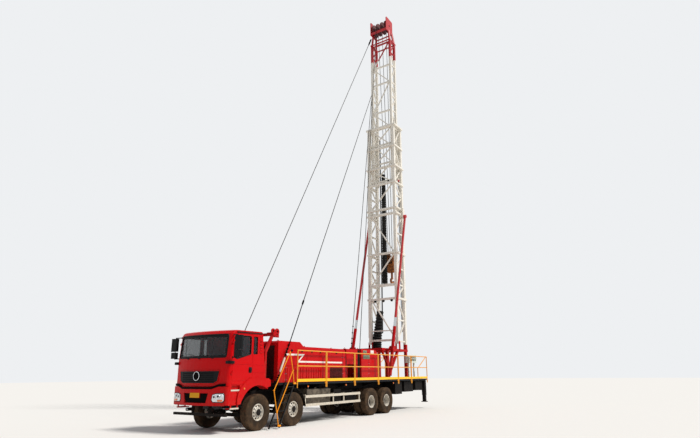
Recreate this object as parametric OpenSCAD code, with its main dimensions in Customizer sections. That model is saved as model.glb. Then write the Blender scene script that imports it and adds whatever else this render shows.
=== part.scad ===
// Workover rig on an eight-wheel forward-control truck, mast raised and drawn out.
// Lengths are in millimetres. In the modules X = 0 is the first axle and +X is to the rear,
// Y = 0 is the centre plane and Z = 0 is the ground. The whole rig is then moved along X so
// that the middle of its length is at the origin. A tilted piece of the mast is drawn in the
// mast's own frame: X is the depth behind the front legs and Z runs up along the mast.

/* [Truck] */
// First axle back from the middle of the bumper's face
front_overhang = 1610; // [1560:10:1700]
// First axle to second axle
front_gap = 1800; // [1700:10:1900]
// Second axle to third axle
mid_gap = 5390; // [5200:10:5600]
// Third axle to fourth axle
rear_gap = 1350; // [1300:10:1450]
// Fourth axle to the end of the deck
rear_overhang = 4410; // [4200:10:4600]
// Width over the tyres and the deck
body_w = 2500; // [2450:10:2550]
// Height of the chassis rails' lower edge
rail_z = 820; // [800:5:850]
// Depth of a chassis rail
rail_h = 300; // [260:5:300]
// Top of the deck
deck_z = 1460; // [1440:5:1500]

/* [Wheels] */
// Tyre diameter
tyre_d = 1125; // [1080:5:1140]
// Tyre width
tyre_w = 300; // [280:5:310]
// Spacing of twin tyres
twin_gap = 350; // [340:5:370]
// Seat of the tyre's bead
bead_r = 254; // [250:1:258]
// Radius of the stub axles
stub_r = 45; // [40:1:50]
// Kingpin inboard of the front tyre's middle
kingpin_in = 190; // [180:5:210]
// Radius of the kingpins
kingpin_r = 25; // [20:1:28]

/* [Cab] */
// Cab width
cab_w = 2450; // [2400:10:2480]
// Top of the cab's roof
cab_top = 3110; // [3080:5:3120]
// How far the middle of the cab's front stands ahead of its corners
front_bow = 190; // [150:5:200]
// Thickness of the cab's walls and doors
cab_wall = 50; // [40:2:60]
// Gap round a closed door
door_gap = 6; // [6:1:9]
// Front edge of the door opening, ahead of the first axle
door_front = 1250; // [1240:2:1254]
// Rear edge of the door opening, ahead of the first axle
door_rear = 360; // [355:5:380]

/* [Housings] */
// Housings' sides in from the edge of the truck's width
housing_in = 120; // [110:5:170]
// Thickness of the housings' sheets
sheet = 30; // [20:2:40]
// Front of the engine housing
engine_x0 = 1000; // [980:5:1020]
// Rear of the engine housing
engine_x1 = 5280; // [5200:5:5300]
// Front of the gearbox housing
gear_x0 = 5460; // [5440:5:5480]
// Rear of the gearbox housing
gear_x1 = 6340; // [6300:5:6360]
// Front of the drawworks housing
winch_x0 = 6530; // [6500:5:6550]
// Rear of the drawworks housing
winch_x1 = 8000; // [7980:5:8050]
// Drum shaft behind the first axle
drum_x = 7450; // [7400:5:7480]
// Height of the drum shaft
drum_z = 2050; // [2000:5:2100]
// Radius of the wound rope on the drum
drum_r = 330; // [300:5:350]

/* [Mast] */
// Mast hinge behind the first axle
hinge_x = 10620; // [10580:5:10660]
// Height of the mast hinge
hinge_z = 3250; // [3240:2:3280]
// Rearward lean of the raised mast in degrees
lean = 1.35; // [1:0.05:2]
// Length of the lower section
lower_l = 12510; // [12300:10:12700]
// Outside width of the lower section
lower_w = 1740; // [1700:10:1800]
// Middle of the front legs to the middle of the rear legs, lower section
lower_depth = 820; // [780:5:860]
// Side of the lower section's square legs
lower_leg = 150; // [130:5:160]
// Foot of the upper section above the hinge when it is drawn out
upper_foot = 9000; // [8900:10:9100]
// Top of the upper section above the hinge when it is drawn out
upper_top = 18450; // [18300:10:18600]
// Outside width of the upper section
upper_w = 1400; // [1360:5:1410]
// Middle of the front legs to the middle of the rear legs, upper section
upper_depth = 540; // [500:5:560]
// Side of the upper section's square legs
upper_leg = 130; // [110:5:140]
// Side of the square braces
brace = 70; // [60:2:90]
// Running gap of the upper section in its guides
guide_gap = 0.3; // [0.3:0.1:0.5]

/* [Crown and block] */
// Shaft of the crown sheaves above the mast's top
crown_rise = 1150; // [1050:10:1250]
// Radius of the crown sheaves
sheave_r = 380; // [360:5:400]
// Travelling block behind the first axle
block_x = 11700; // [11680:5:11750]
// Height of the travelling block's top
block_top = 8280; // [8200:10:8400]
// Diameter of the drilling lines and guy lines
rope_d = 26; // [22:1:32]

/* [Raising rams] */
// Trunnion of a ram behind the first axle
ram_x = 9400; // [9380:5:9420]
// Height of a ram's trunnion
ram_z = 2950; // [2930:5:2970]
// Ram's middle from the centre plane
ram_y = 1150; // [1140:2:1154]
// Rod's eye above the mast hinge, along the mast
ram_eye_up = 6864; // [6840:2:6890]
// Rod's eye behind the front legs
ram_eye_back = 518; // [500:2:530]
// Barrel diameter
barrel_d = 160; // [150:2:164]
// Rod diameter
rod_d = 126; // [116:2:130]

/* [Railing] */
// Railing's middle out past the truck's width
railing_out = 20; // [15:1:30]
// Top rail
railing_top = 2570; // [2500:10:2600]
// Middle rail
railing_mid = 2020; // [1980:10:2060]
// Rail and post diameter
railing_d = 42; // [36:1:48]

/* [Jacks] */
// Jacks behind the first axle
jack_x = 12780; // [12750:5:12800]
// Jack's middle from the centre plane
jack_y = 1120; // [1100:5:1130]
// Height of the jack pads' undersides
jack_foot_z = 300; // [280:5:320]
// Side of a jack's outer tube
jack_tube = 180; // [160:5:190]
// Wall of a jack's outer tube
jack_wall = 12; // [8:1:14]

/* [Hidden] */
$fn = 32;

red = "#b8171c";
dark_red = "#7d1014";
black = "#1c1c1e";
cream = "#d9d3c4";
yellow = "#f2a51c";
tyre_black = "#34302c";
steel = "#8d8f92";

axle_x = [0, front_gap, front_gap + mid_gap, front_gap + mid_gap + rear_gap];
deck_end = axle_x[3] + rear_overhang;
mid_x = (deck_end - front_overhang) / 2;
hub_z = tyre_d / 2;
wheel_y = body_w / 2 - tyre_w / 2;
twin_y = body_w / 2 - tyre_w / 2 - twin_gap / 2;
kingpin_y = wheel_y - kingpin_in;
cab_half = cab_w / 2;
rail_y = 385;
rail_w = 90;
rail_face = rail_y + rail_w / 2;
rail_top = rail_z + rail_h;
lower_y = lower_w / 2 - lower_leg / 2;
upper_y = upper_w / 2 - upper_leg / 2;
upper_front_x = lower_leg / 2 + upper_leg / 2 + 10;
guide_y = lower_w / 2 - lower_leg;
deck_t = 20;
edge_y = body_w / 2;
housing_half_w = edge_y - housing_in;
railing_y = edge_y + railing_out;
crown_shaft = upper_top + crown_rise;
rest_x = 470;
anchor_x = 800;
anchor_y = edge_y + 50;
anchor_z = deck_z + 60;
engine_top = 2880;
housing_top = 2720;
fit = 0.3;

// A box given by its lowest and highest values on each axis
module box(x, y, z) {
    translate([x[0], y[0], z[0]]) cube([x[1] - x[0], y[1] - y[0], z[1] - z[0]]);
}

// The same thing on the left side and, mirrored, on the right
module both_sides() {
    children();
    mirror([0, 1, 0]) children();
}

// A side: -1 is the left side and 1 the right
module on_side(side) {
    mirror([0, side < 0 ? 1 : 0, 0]) children();
}

module placed() {
    translate([-mid_x, 0, 0]) children();
}

module mast_frame() {
    placed() translate([hinge_x, 0, hinge_z]) rotate([0, lean, 0]) children();
}

// A round bar from point a to point b
module pipe(a, b, d) {
    v = b - a;
    translate(a)
        rotate([0, acos(v.z / norm(v)), atan2(v.y, v.x)])
            cylinder(d = d, h = norm(v));
}

// A square bar from point a to point b
module strut(a, b, w) {
    v = b - a;
    translate(a)
        rotate([0, acos(v.z / norm(v)), atan2(v.y, v.x)])
            translate([-w / 2, -w / 2, 0]) cube([w, w, norm(v)]);
}

// A profile drawn in X and Z, from y0 to y1
module side_profile(y0, y1) {
    translate([0, y1, 0]) rotate([90, 0, 0]) linear_extrude(y1 - y0) children();
}

// A profile seen from the front, drawn out to the rear from x0 by d
module front_profile(x0, d) {
    translate([x0, 0, 0]) rotate([90, 0, 90]) linear_extrude(d) children();
}

// A round bar along Y
module cross_pin(x, z, y0, y1, d) {
    translate([x, y0, z]) rotate([-90, 0, 0]) cylinder(d = d, h = y1 - y0);
}

// Points of an arc
function arc(cx, cy, r, a0, a1, n) =
    [for (i = [0:n]) [cx + r * cos(a0 + (a1 - a0) * i / n), cy + r * sin(a0 + (a1 - a0) * i / n)]];

// CARRIER

module chassis_rail() {
    difference() {
        box([-1250, deck_end - 60], [rail_y - rail_w / 2, rail_y + rail_w / 2], [rail_z, rail_top]);
        box([-1300, deck_end], [rail_y - rail_w / 2 - 1, rail_y + rail_w / 2 - 12],
            [rail_z + 14, rail_top - 14]);
    }
}

// Beams of the rig's own frame, bolted on top of the rails
module sub_frame() {
    box([400, deck_end - 60], [rail_y - rail_w / 2, rail_y + rail_w / 2], [rail_top, deck_z - deck_t]);
}

// Places of the brackets that carry the deck, the mast rest and the guy lines' anchors
outrigger_x = [rest_x, anchor_x, 1200, 1930, 3720, 5770, 7750, 9670, 11070, deck_end - 90];

module outrigger(x) {
    w = 60;
    tip = body_w / 2 - 70 - fit;
    translate([x + w / 2, 0, 0]) rotate([90, 0, -90]) linear_extrude(w)
        polygon([[-tip, deck_z - 80], [-tip, deck_z - deck_t], [-rail_y, deck_z - deck_t],
            [-rail_y, rail_top + 60]]);
}

// Lug that a guy line is anchored to, out past the deck's edge
module anchor_lug() {
    box([anchor_x - 30, anchor_x + 30], [body_w / 2 - 80, anchor_y + 20], [deck_z - 60, anchor_z]);
}

// Posts under the cab's floor
module cab_mounts() {
    for (x = [-1200, 140])
        box([x, x + 80], [350, 420], [rail_top, cab_floor - cab_wall - fit]);
}

module underrun_bar() {
    box([-1400, -1330], [-1200, 1200], [510, 590]);
    both_sides() box([-1330, -1250], [rail_y - 30, rail_y + 30], [530, rail_z + 120]);
}

module tow_eye() {
    difference() {
        union() {
            box([-1440, -1320], [480, 510], [640, 740]);
            translate([-1440, 480, 690]) rotate([-90, 0, 0]) cylinder(d = 100, h = 30);
            box([-1330, -1250], [rail_y, 510], [640, 740]);
        }
        translate([-1440, 470, 690]) rotate([-90, 0, 0]) cylinder(d = 50, h = 50);
    }
}

module jack_leg() {
    half = jack_tube / 2;
    bore = half - jack_wall;
    difference() {
        box([jack_x - half, jack_x + half], [jack_y - half, jack_y + half], [640, deck_z - 90]);
        box([jack_x - bore, jack_x + bore], [jack_y - bore, jack_y + bore], [630, deck_z - 110]);
    }
    box([jack_x - half, jack_x + half], [rail_y + 30, jack_y - half], [rail_z + 60, rail_top]);
}

module chassis_frame() {
    color(black) placed() {
        both_sides() {
            chassis_rail();
            sub_frame();
            for (x = outrigger_x) outrigger(x);
            tow_eye();
            jack_leg();
            anchor_lug();
            cab_mounts();
            under_deck();
        }
        for (x = [-1200, 900, 2700, 4500, 6300, axle_x[3] - rear_gap / 2, 9300, 11000, deck_end - 200])
            box([x, x + 120], [-rail_y - rail_w / 2 + 10, rail_y + rail_w / 2 - 10],
                [rail_z + 50, rail_top - 50]);
        underrun_bar();
    }
}

module deck() {
    color(black) placed() {
        box([engine_x0 - 50, deck_end], [-body_w / 2 + 10, body_w / 2 - 10], [deck_z - deck_t, deck_z]);
        both_sides() box([engine_x0 - 50, deck_end], [body_w / 2 - 70, body_w / 2 - 10],
            [deck_z - 80, deck_z - deck_t]);
    }
}

// A pack of leaf springs: leaf i covers fewer steps of the same arc
spring_r = 1900;
spring_step = 3.6;
leaf_t = 18;

module leaf_pack(x, z_mid, leaves, up) {
    s = up ? 1 : -1;
    translate([x, 0, z_mid]) side_profile(350, 420)
        for (i = [0:leaves - 1])
            polygon(concat(
                [for (k = [-(6 - i):6 - i]) [(spring_r + i * leaf_t) * sin(k * spring_step),
                    s * (spring_r - (spring_r + i * leaf_t) * cos(k * spring_step))]],
                [for (k = [6 - i:-1:-(6 - i)]) [(spring_r + (i + 1) * leaf_t) * sin(k * spring_step),
                    s * (spring_r - (spring_r + (i + 1) * leaf_t) * cos(k * spring_step))]]));
}

module front_axle(x) {
    drop = 110;
    beam_z = hub_z - drop;
    difference() {
        union() {
            box([x - 50, x + 50], [-620, 620], [beam_z - 55, beam_z + 55]);
            both_sides() {
                strut([x, 590, beam_z], [x, kingpin_y - 20, hub_z], 90);
                translate([x, kingpin_y, hub_z - 90]) cylinder(d = 110, h = 180);
                box([x - 110, x + 110], [345, 425], [beam_z + 50, beam_z + 90]);
            }
        }
        both_sides() translate([x, kingpin_y, hub_z - 100]) cylinder(r = kingpin_r + fit, h = 200);
    }
    both_sides() {
        leaf_pack(x, beam_z + 90 + 4 * leaf_t, 4, true);
        for (s = [-1, 1])
            box([x + s * 690 - 40, x + s * 690 + 40], [345, 425], [beam_z + 250, rail_z]);
    }
}

module front_axles() {
    color(black) placed()
        for (i = [0, 1]) front_axle(axle_x[i]);
}

module rear_axle(x) {
    cross_pin(x, hub_z, -620, 620, 150);
    both_sides() cross_pin(x, hub_z, 600, twin_y + 145, 2 * stub_r);
    translate([x - 190, 0, hub_z]) rotate([0, 90, 0]) cylinder(d = 400, h = 330);
    both_sides() box([x - 70, x + 70], [345, 425], [hub_z, hub_z + 100]);
}

module bogie_spring() {
    x = axle_x[2] + rear_gap / 2;
    both_sides() {
        box([x - 760, x + 760], [350, 420], [hub_z + 100, hub_z + 130]);
        box([x - 520, x + 520], [350, 420], [hub_z + 130, hub_z + 160]);
        box([x - 260, x + 260], [350, 420], [hub_z + 160, rail_z]);
    }
    cross_pin(x, hub_z + 120, -350, 350, 90);
}

module rear_axles() {
    color(black) placed() {
        for (i = [2, 3]) rear_axle(axle_x[i]);
        bogie_spring();
    }
}

// WHEELS

// Tyre section: radius and half width, one side
function tyre_side(s) = [[bead_r, s * 0.36], [bead_r + 40, s * 0.44], [tyre_d / 2 * 0.74, s * 0.5],
    [tyre_d / 2 * 0.9, s * 0.49], [tyre_d / 2 * 0.965, s * 0.44], [tyre_d / 2, s * 0.38]];

module tyre() {
    rotate_extrude($fn = 96)
        polygon(concat(
            [for (p = tyre_side(1)) [p.x, p.y * tyre_w]],
            [for (i = [5:-1:0]) [tyre_side(-1)[i].x, tyre_side(-1)[i].y * tyre_w]]));
}

rim_r = bead_r - fit;

// Steered wheel's rim: its dish stands out past the tyre
module front_rim() {
    difference() {
        rotate_extrude($fn = 96)
            polygon([[rim_r, -120], [rim_r, 120], [rim_r - 14, 120], [rim_r - 22, 60],
                [150, 105], [112, 108], [104, 150], [60, 168], [0, 172], [0, 140],
                [stub_r + fit, 140], [stub_r + fit, -90], [190, -90], [200, -20],
                [150, 40], [rim_r - 22, 30], [rim_r - 14, -120]]);
        for (a = [0:36:359])
            rotate(a) translate([192, 0, 20]) cylinder(d = 46, h = 90);
    }
}

// Twin wheel's rims and hub: the outer dish goes in
module twin_rim() {
    for (s = [-1, 1])
        translate([0, 0, s * twin_gap / 2])
            difference() {
                rotate_extrude($fn = 96)
                    polygon([[rim_r, -120], [rim_r, 120], [rim_r - 16, 120], [rim_r - 16, -120]]);
            }
    rotate_extrude($fn = 96)
        polygon([[rim_r - 10, -90], [rim_r - 10, 90], [rim_r - 22, 90], [rim_r - 24, 24],
            [130, 24], [120, 150], [70, 168], [0, 170], [0, 150], [stub_r + fit, 150],
            [stub_r + fit, -250], [190, -250], [190, -40], [150, -24], [rim_r - 24, -24],
            [rim_r - 22, -90]]);
}

module front_wheel(i, side) {
    placed() translate([axle_x[i], side * wheel_y, hub_z])
        rotate([-90 * side, 0, 0]) {
            color(tyre_black) tyre();
            color(cream) front_rim();
        }
}

module twin_wheel(i, side) {
    placed() translate([axle_x[i], side * twin_y, hub_z])
        rotate([-90 * side, 0, 0]) {
            for (s = [-1, 1]) translate([0, 0, s * twin_gap / 2]) color(tyre_black) tyre();
            color(cream) twin_rim();
        }
}

module wheel_1_left() front_wheel(0, -1);
module wheel_1_right() front_wheel(0, 1);
module wheel_2_left() front_wheel(1, -1);
module wheel_2_right() front_wheel(1, 1);
module wheel_3_left() twin_wheel(2, -1);
module wheel_3_right() twin_wheel(2, 1);
module wheel_4_left() twin_wheel(3, -1);
module wheel_4_right() twin_wheel(3, 1);

// Forked knuckle with the stub axle and steering arm
module knuckle(i, side) {
    ear = 40;
    boss_h = 180;
    color(black) placed() translate([axle_x[i], side * kingpin_y, hub_z]) on_side(side) {
        translate([0, 0, -boss_h / 2 - ear - fit]) cylinder(r = kingpin_r, h = boss_h + 2 * ear + 2 * fit);
        for (s = [-1, 1]) translate([0, 0, s * (boss_h / 2 + fit + ear / 2)])
            union() {
                cylinder(d = 100, h = ear, center = true);
                translate([-40, 0, -ear / 2]) cube([80, 75, ear]);
            }
        translate([-40, 62, -boss_h / 2 - ear]) cube([80, 30, boss_h + 2 * ear]);
        translate([0, 70, 0]) rotate([-90, 0, 0]) cylinder(r = stub_r, h = kingpin_in + 100 - 70 + 30);
        translate([-230, -10, -boss_h / 2 - ear - fit]) cube([220, 50, 30]);
    }
}

module knuckle_1_left() knuckle(0, -1);
module knuckle_1_right() knuckle(0, 1);
module knuckle_2_left() knuckle(1, -1);
module knuckle_2_right() knuckle(1, 1);

// CAB

cab_front = front_overhang - 50;
cab_sill = -1340;
corner_r = 140;
cab_floor = 1480;
arch_r = 850;
arch_x = -60;

// Outline of the cab from the side, behind its bowed front: sill, roof, rear wall, arch
cab_outline = [[cab_sill, 1290], [cab_sill, 1395], [-cab_front - 10, 1395], [-cab_front - 10, cab_top],
    [40, cab_top], [90, cab_top - 50], [270, 1700], [270, cab_floor - cab_wall],
    [-620, cab_floor - cab_wall], [-820, 1290]];
cab_inside = [[-cab_front - 10, cab_floor], [-cab_front - 10, cab_top - cab_wall], [30, cab_top - cab_wall],
    [270 - cab_wall, 1700], [270 - cab_wall, cab_floor]];

// Levels of the cab's front: [bottom, top, how far it has gone back at the bottom and at the top]
front_levels = [[1200, 2200, 0, 0], [2200, 3000, 0, 80], [3000, 3080, 80, 140], [3080, cab_top, 140, 215]];

// Windscreen opening: half width, lower edge, upper edge
screen = [1090, 2262, 2975];

// Door opening from the side; g is the gap taken off all round
function door_outline(g) = [[-door_front + g, 1440 + g], [-694 - g, 1440 + g],
    [-500 - g, 1625 + g], [-door_rear - g, 1625 + g], [-door_rear - g, 2960 - g],
    [-door_rear - 40 - g, 3010 - g], [-door_front + 60 + g, 3010 - g], [-door_front + g, 2920 - g]];

// Door window, from the side
function door_window(g) = [[-1205 + g, 2270 + g], [-1060 + g, 2220 + g], [-470 - g, 2370 + g],
    [-450 - g, 2400 + g], [-450 - g, 2900 - g], [-490 - g, 2940 - g], [-1160 + g, 2940 - g],
    [-1205 + g, 2880 - g]];

function quarter_window(g) = [[-320 + g, 2390 + g], [-150 - g, 2390 + g],
    [-160 - g, 2930 - g], [-320 + g, 2930 - g]];

// A plan with a bowed front and rounded front corners: middle of the front, half width, corner radius
function bowed_plan(x_mid, half, r) =
    let (yc = half - r,
        turn = atan(2 * front_bow * (yc + 0.26 * r) / pow(cab_half, 2)),
        y1 = yc + r * sin(turn),
        cx = x_mid + front_bow * pow(y1 / cab_half, 2) + r * cos(turn),
        steps = 12)
    concat([[400, -half], [400, half]], arc(cx, yc, r, 90, 180 - turn, 4),
        [for (i = [1:steps - 1])
            let (y = y1 * (1 - 2 * i / steps)) [x_mid + front_bow * pow(y / cab_half, 2), y]],
        arc(cx, -yc, r, 180 + turn, 270, 4));

// One level of the cab's bowed front with the space behind it, drawn in by g
module cab_level(l, g) {
    translate([l[2], 0, l[0]])
        multmatrix([[1, 0, (l[3] - l[2]) / (l[1] - l[0]), 0], [0, 1, 0, 0], [0, 0, 1, 0], [0, 0, 0, 1]])
            linear_extrude(l[1] - l[0]) polygon(bowed_plan(-cab_front + g, cab_half - g, corner_r - g));
}

module cab_block(g) {
    for (l = front_levels) cab_level(l, g);
}

// A layer that follows a bowed front, from g0 to g1 behind it, z0 to z1
module bowed_layer(x_mid, half, r, g0, g1, z0, z1) {
    translate([0, 0, z0]) linear_extrude(z1 - z0)
        difference() {
            polygon(bowed_plan(x_mid + g0, half - g0, r - g0));
            translate([g1 - g0, 0]) polygon(bowed_plan(x_mid + g0, half + 50, r - g0));
        }
}

// Door hinges outside the cab's side: the cab's pin and, round it, the door's eye
hinge_axis = [-door_front - 4, cab_half + 18];
hinge_levels = [1800, 2750];

module hinge_pins() {
    both_sides() for (z = hinge_levels) {
        box([hinge_axis.x - 46, hinge_axis.x], [cab_half - 40, hinge_axis.y + 8], [z - 50, z]);
        translate([hinge_axis.x, hinge_axis.y, z - 50]) cylinder(d = 30, h = 50);
        translate([hinge_axis.x, hinge_axis.y, z - 1]) cylinder(d = 14, h = 49);
    }
}

module hinge_eyes() {
    for (z = hinge_levels) difference() {
        union() {
            translate([hinge_axis.x, hinge_axis.y, z + fit]) cylinder(d = 30, h = 50);
            box([hinge_axis.x, hinge_axis.x + 60], [cab_half - 2, cab_half + 12], [z + fit, z + fit + 50]);
        }
        translate([hinge_axis.x, hinge_axis.y, z - 1]) cylinder(d = 14 + 2 * fit, h = 60);
        box([hinge_axis.x - 5, -door_front + door_gap], [cab_half - 5, cab_half + 3], [z - 1, z + 60]);
    }
}

module cab_shell() {
    color(red) placed() hinge_pins();
    color(red) placed() difference() {
        intersection() {
            side_profile(-cab_half - 10, cab_half + 10) polygon(cab_outline);
            cab_block(0);
        }
        intersection() {
            side_profile(-cab_half, cab_half) polygon(cab_inside);
            cab_block(cab_wall);
        }
        both_sides() side_profile(cab_half - 2 * cab_wall, cab_half + 10) {
            polygon(door_outline(0));
            polygon(quarter_window(0));
        }
        box([-1250, -640], [-cab_half + 90, cab_half - 90], [1200, cab_floor - cab_wall]);
        box([-cab_front - 20, -1150], [-screen[0], screen[0]], [screen[1], screen[2]]);
        cross_pin(arch_x, hub_z, -cab_half - 10, cab_half + 10, 2 * arch_r);
        both_sides() box([-1240, -880], [cab_half - 60, cab_half + 10], [1280, 1415]);
    }
    color(red) placed() both_sides() {
        for (z = [2470:120:2950])
            box([-50, 65 + (cab_top - 50 - z) * 0.13], [cab_half - 5, cab_half + 12], [z - 20, z + 20]);
        box([-1120, 60], [cab_half - 5, cab_half + 14], [3036, 3062]);
    }
}

module cab_glass() {
    color([0.5, 0.6, 0.65, 0.4]) placed() {
        intersection() {
            difference() {
                cab_level(front_levels[1], 14);
                cab_level(front_levels[1], 22);
            }
            box([-cab_front - 20, -1150], [-screen[0] + fit, screen[0] - fit], [screen[1] + fit, screen[2] - fit]);
        }
        both_sides() side_profile(cab_half - 30, cab_half - 22) polygon(quarter_window(fit));
    }
}

module door(side) {
    color(red) placed() on_side(side) {
        difference() {
            side_profile(cab_half - cab_wall, cab_half) polygon(door_outline(door_gap));
            side_profile(cab_half - cab_wall - 10, cab_half + 10) polygon(door_window(0));
        }
        box([-500, -410], [cab_half, cab_half + 30], [1850, 1910]);
        hinge_eyes();
    }
}

module door_glass(side) {
    color([0.5, 0.6, 0.65, 0.4]) placed() on_side(side)
        side_profile(cab_half - 30, cab_half - 22) polygon(door_window(fit));
}

module door_left() door(-1);
module door_right() door(1);
module door_glass_left() door_glass(-1);
module door_glass_right() door_glass(1);

module seat(y) {
    translate([-560, y, cab_floor]) {
        box([0, 420], [-220, 220], [160, 280]);
        box([60, 360], [-160, 160], [0, 160]);
        side_profile(-220, 220) polygon([[400, 240], [520, 240], [620, 900], [530, 900]]);
    }
}

module cab_interior() {
    color("#3a3a3c") placed() {
        for (y = [-620, 620]) seat(y);
        intersection() {
            side_profile(-cab_half + cab_wall + 20, cab_half - cab_wall - 20)
                polygon([[-cab_front, cab_floor + 100], [-cab_front, 2150], [-1150, 2170], [-1060, 2080],
                    [-1060, 1900], [-1200, cab_floor + 100]]);
            cab_level(front_levels[0], cab_wall + fit);
        }
        box([-700, 180], [-300, 300], [cab_floor + fit, cab_floor + 260]);
        translate([-960, -620, 2230]) rotate([0, 30, 0]) {
            difference() {
                cylinder(d = 470, h = 30);
                translate([0, 0, -5]) cylinder(d = 410, h = 40);
            }
            translate([-20, -215, 5]) cube([40, 430, 15]);
            translate([0, 0, -270]) cylinder(d = 50, h = 280);
        }
    }
}

// Outline of a head lamp from the front
head_lamp = [[700, 990], [745, 920], [1110, 915], [1165, 970], [1165, 1140], [1130, 1192], [860, 1190],
    [725, 1150]];
lamp_out = 6;
bumper_r = 120;
bumper_half = edge_y - 5;

// A layer over the bumper's face, from g0 to g1 behind it
module bumper_layer(g0, g1) {
    bowed_layer(-front_overhang, bumper_half, bumper_r, g0, g1, 850, 1300);
}

// A layer over the cab's front, from g0 to g1 behind it
module grille_layer(g0, g1) {
    bowed_layer(-cab_front, cab_half, corner_r, g0, g1, 1400, 1900);
}

module front_bumper() {
    top = 1385;
    back = cab_sill - 7;
    wall = 60;
    color(red) placed() {
        difference() {
            intersection() {
                box([-front_overhang, back], [-bumper_half, bumper_half], [rail_z, top]);
                linear_extrude(2000) polygon(bowed_plan(-front_overhang, bumper_half, bumper_r));
                front_profile(-front_overhang - 10, 400)
                    polygon([[-1300, rail_z + 40], [-1100, rail_z], [1100, rail_z], [1300, rail_z + 40],
                        [1300, top], [-1300, top]]);
            }
            translate([0, 0, 700])
                linear_extrude(650) polygon(bowed_plan(-front_overhang + wall, bumper_half - wall, bumper_r - wall));
            intersection() {
                front_profile(-front_overhang - 10, 200) polygon([[-560, 1190], [-480, 895], [480, 895], [560, 1190]]);
                bumper_layer(-1, 45);
            }
        }
        both_sides() {
            box([-front_overhang + 55, -1250 - fit], [345, 425], [1000, 1100]);
            intersection() {
                front_profile(-front_overhang - 50, 400) polygon(head_lamp);
                bumper_layer(-lamp_out, 20);
            }
        }
        box([-front_overhang - 2, -front_overhang + 60], [-220, 220], [1050, 1200]);
    }
}

module grille() {
    slats = 5;
    top = 1850;
    bottom = 1485;
    color(black) placed() difference() {
        intersection() {
            front_profile(-cab_front - 60, 400)
                polygon([[-700, bottom], [700, bottom], [845, bottom + 70], [900, top], [-900, top],
                    [-845, bottom + 70]]);
            grille_layer(-25, 10);
        }
        translate([-fit, 0, 1400]) linear_extrude(500) polygon(bowed_plan(-cab_front, cab_half, corner_r));
        for (i = [0:slats - 1])
            intersection() {
                box([-cab_front - 60, -1300], [-720, 720], [bottom + 40 + i * 62, bottom + 72 + i * 62]);
                grille_layer(-30, -12);
            }
    }
}

module mirrors() {
    color(black) placed() both_sides() {
        for (m = [[2500, 2930, 1660], [2270, 2470, 1640]])
            difference() {
                box([-1370, -1270], [1370, m[2]], [m[0], m[1]]);
                for (y = [1370, m[2]])
                    translate([-1370, y, 0]) rotate([0, 0, 45]) box([-24, 24], [-24, 24], [m[0] - 1, m[1] + 1]);
            }
        for (z = [2260, 2950]) {
            box([-1278, -1258], [cab_half + fit, cab_half + 20], [z - 30, z + 30]);
            pipe([-1268, cab_half + 8, z], [-1320, 1470, z], 30);
        }
        pipe([-1320, 1470, 2965], [-1320, 1470, 2245], 24);
    }
}

module arch_band(x, r, t, y0, y1, a0, a1) {
    translate([x, 0, hub_z]) side_profile(y0, y1)
        polygon(concat(arc(0, 0, r, a0, a1, 16), arc(0, 0, r + t, a1, a0, 16)));
}

// Side panel ahead of the wheel, with the lower tread hung under it
module step_panel() {
    difference() {
        side_profile(1000, cab_half) polygon([[cab_sill, 830], [-780, 830], [-560, 1100], [-560, 1285], [cab_sill, 1285]]);
        cross_pin(arch_x, hub_z, 990, cab_half + 10, 2 * (arch_r - 10));
        box([cab_sill + 30, -900], [990, cab_half - 40], [820, 1240]);
        translate([-970, cab_half + 115, 820]) cylinder(r = 130, h = 400);
    }
    box([-1260, -900], [1040, cab_half], [715, 745]);
    for (x = [-1240, -960]) box([x, x + 40], [cab_half - 30, cab_half - 10], [740, 835]);
    box([-1200, -1000], [rail_face, 1010], [900, 960]);
}

module fenders() {
    lip = 36;
    color(red) placed() both_sides() {
        difference() {
            side_profile(cab_half + fit, cab_half + lip)
                polygon([[-1000, 1000], [-960, 1180], [-860, 1330], [-540, 1600], [-440, 1618], [410, 1612],
                    [520, 1550], [530, 1360], [300, 1300], [-800, 850], [-1000, 850]]);
            cross_pin(arch_x, hub_z, cab_half - 50, cab_half + 100, 2 * (arch_r - 10));
        }
        arch_band(arch_x, arch_r - 16, 15, cab_half - 300, cab_half + lip, 58, 150);
        step_panel();
        arch_band(axle_x[1], 700, 12, cab_half - 290, cab_half, 5, 172);
        box([axle_x[1] - 30, axle_x[1] + 30], [rail_face, cab_half - 280], [hub_z + 700, hub_z + 740]);
    }
}

// Frame behind the cab that the lowered mast lies in
module mast_rest() {
    top_x = 950;
    head_z = hinge_z - lower_leg / 2 - 6;
    color(red) placed() {
        both_sides() {
            strut([rest_x, 1000, deck_z - deck_t + fit], [rest_x, 1000, 2500], 90);
            strut([rest_x, 1000, 2470], [top_x, 900, head_z - 60], 90);
            box([top_x - 80, top_x + 80], [680, 1000], [head_z - 120, head_z]);
            box([top_x - 80, top_x + 80], [lower_w / 2 + 10, lower_w / 2 + 40], [head_z - 120, head_z + 110]);
        }
        box([top_x - 50, top_x + 50], [-700, 700], [head_z - 120, head_z - 20]);
    }
}

// HOUSINGS

// Outline of the engine housing from the side, drawn in by g
function engine_outline(g) = [[engine_x0 + g, deck_z + fit - g], [engine_x0 + g, engine_top - 60 - g / 2],
    [engine_x0 + 60 + g / 2, engine_top - g], [2220 - g / 2, engine_top - g], [2440 - g / 2, housing_top - g],
    [engine_x1 - 180, housing_top - g], [engine_x1 - 50 - g / 2, housing_top - 60 - g / 2],
    [engine_x1 - g, housing_top - 200], [engine_x1 - g, deck_z + fit - g]];

// Upright louvres low in the engine housing's sides
louvre_x = [for (i = [0:13]) 1500 + i * 150 + (i > 6 ? 60 : 0)];

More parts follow.
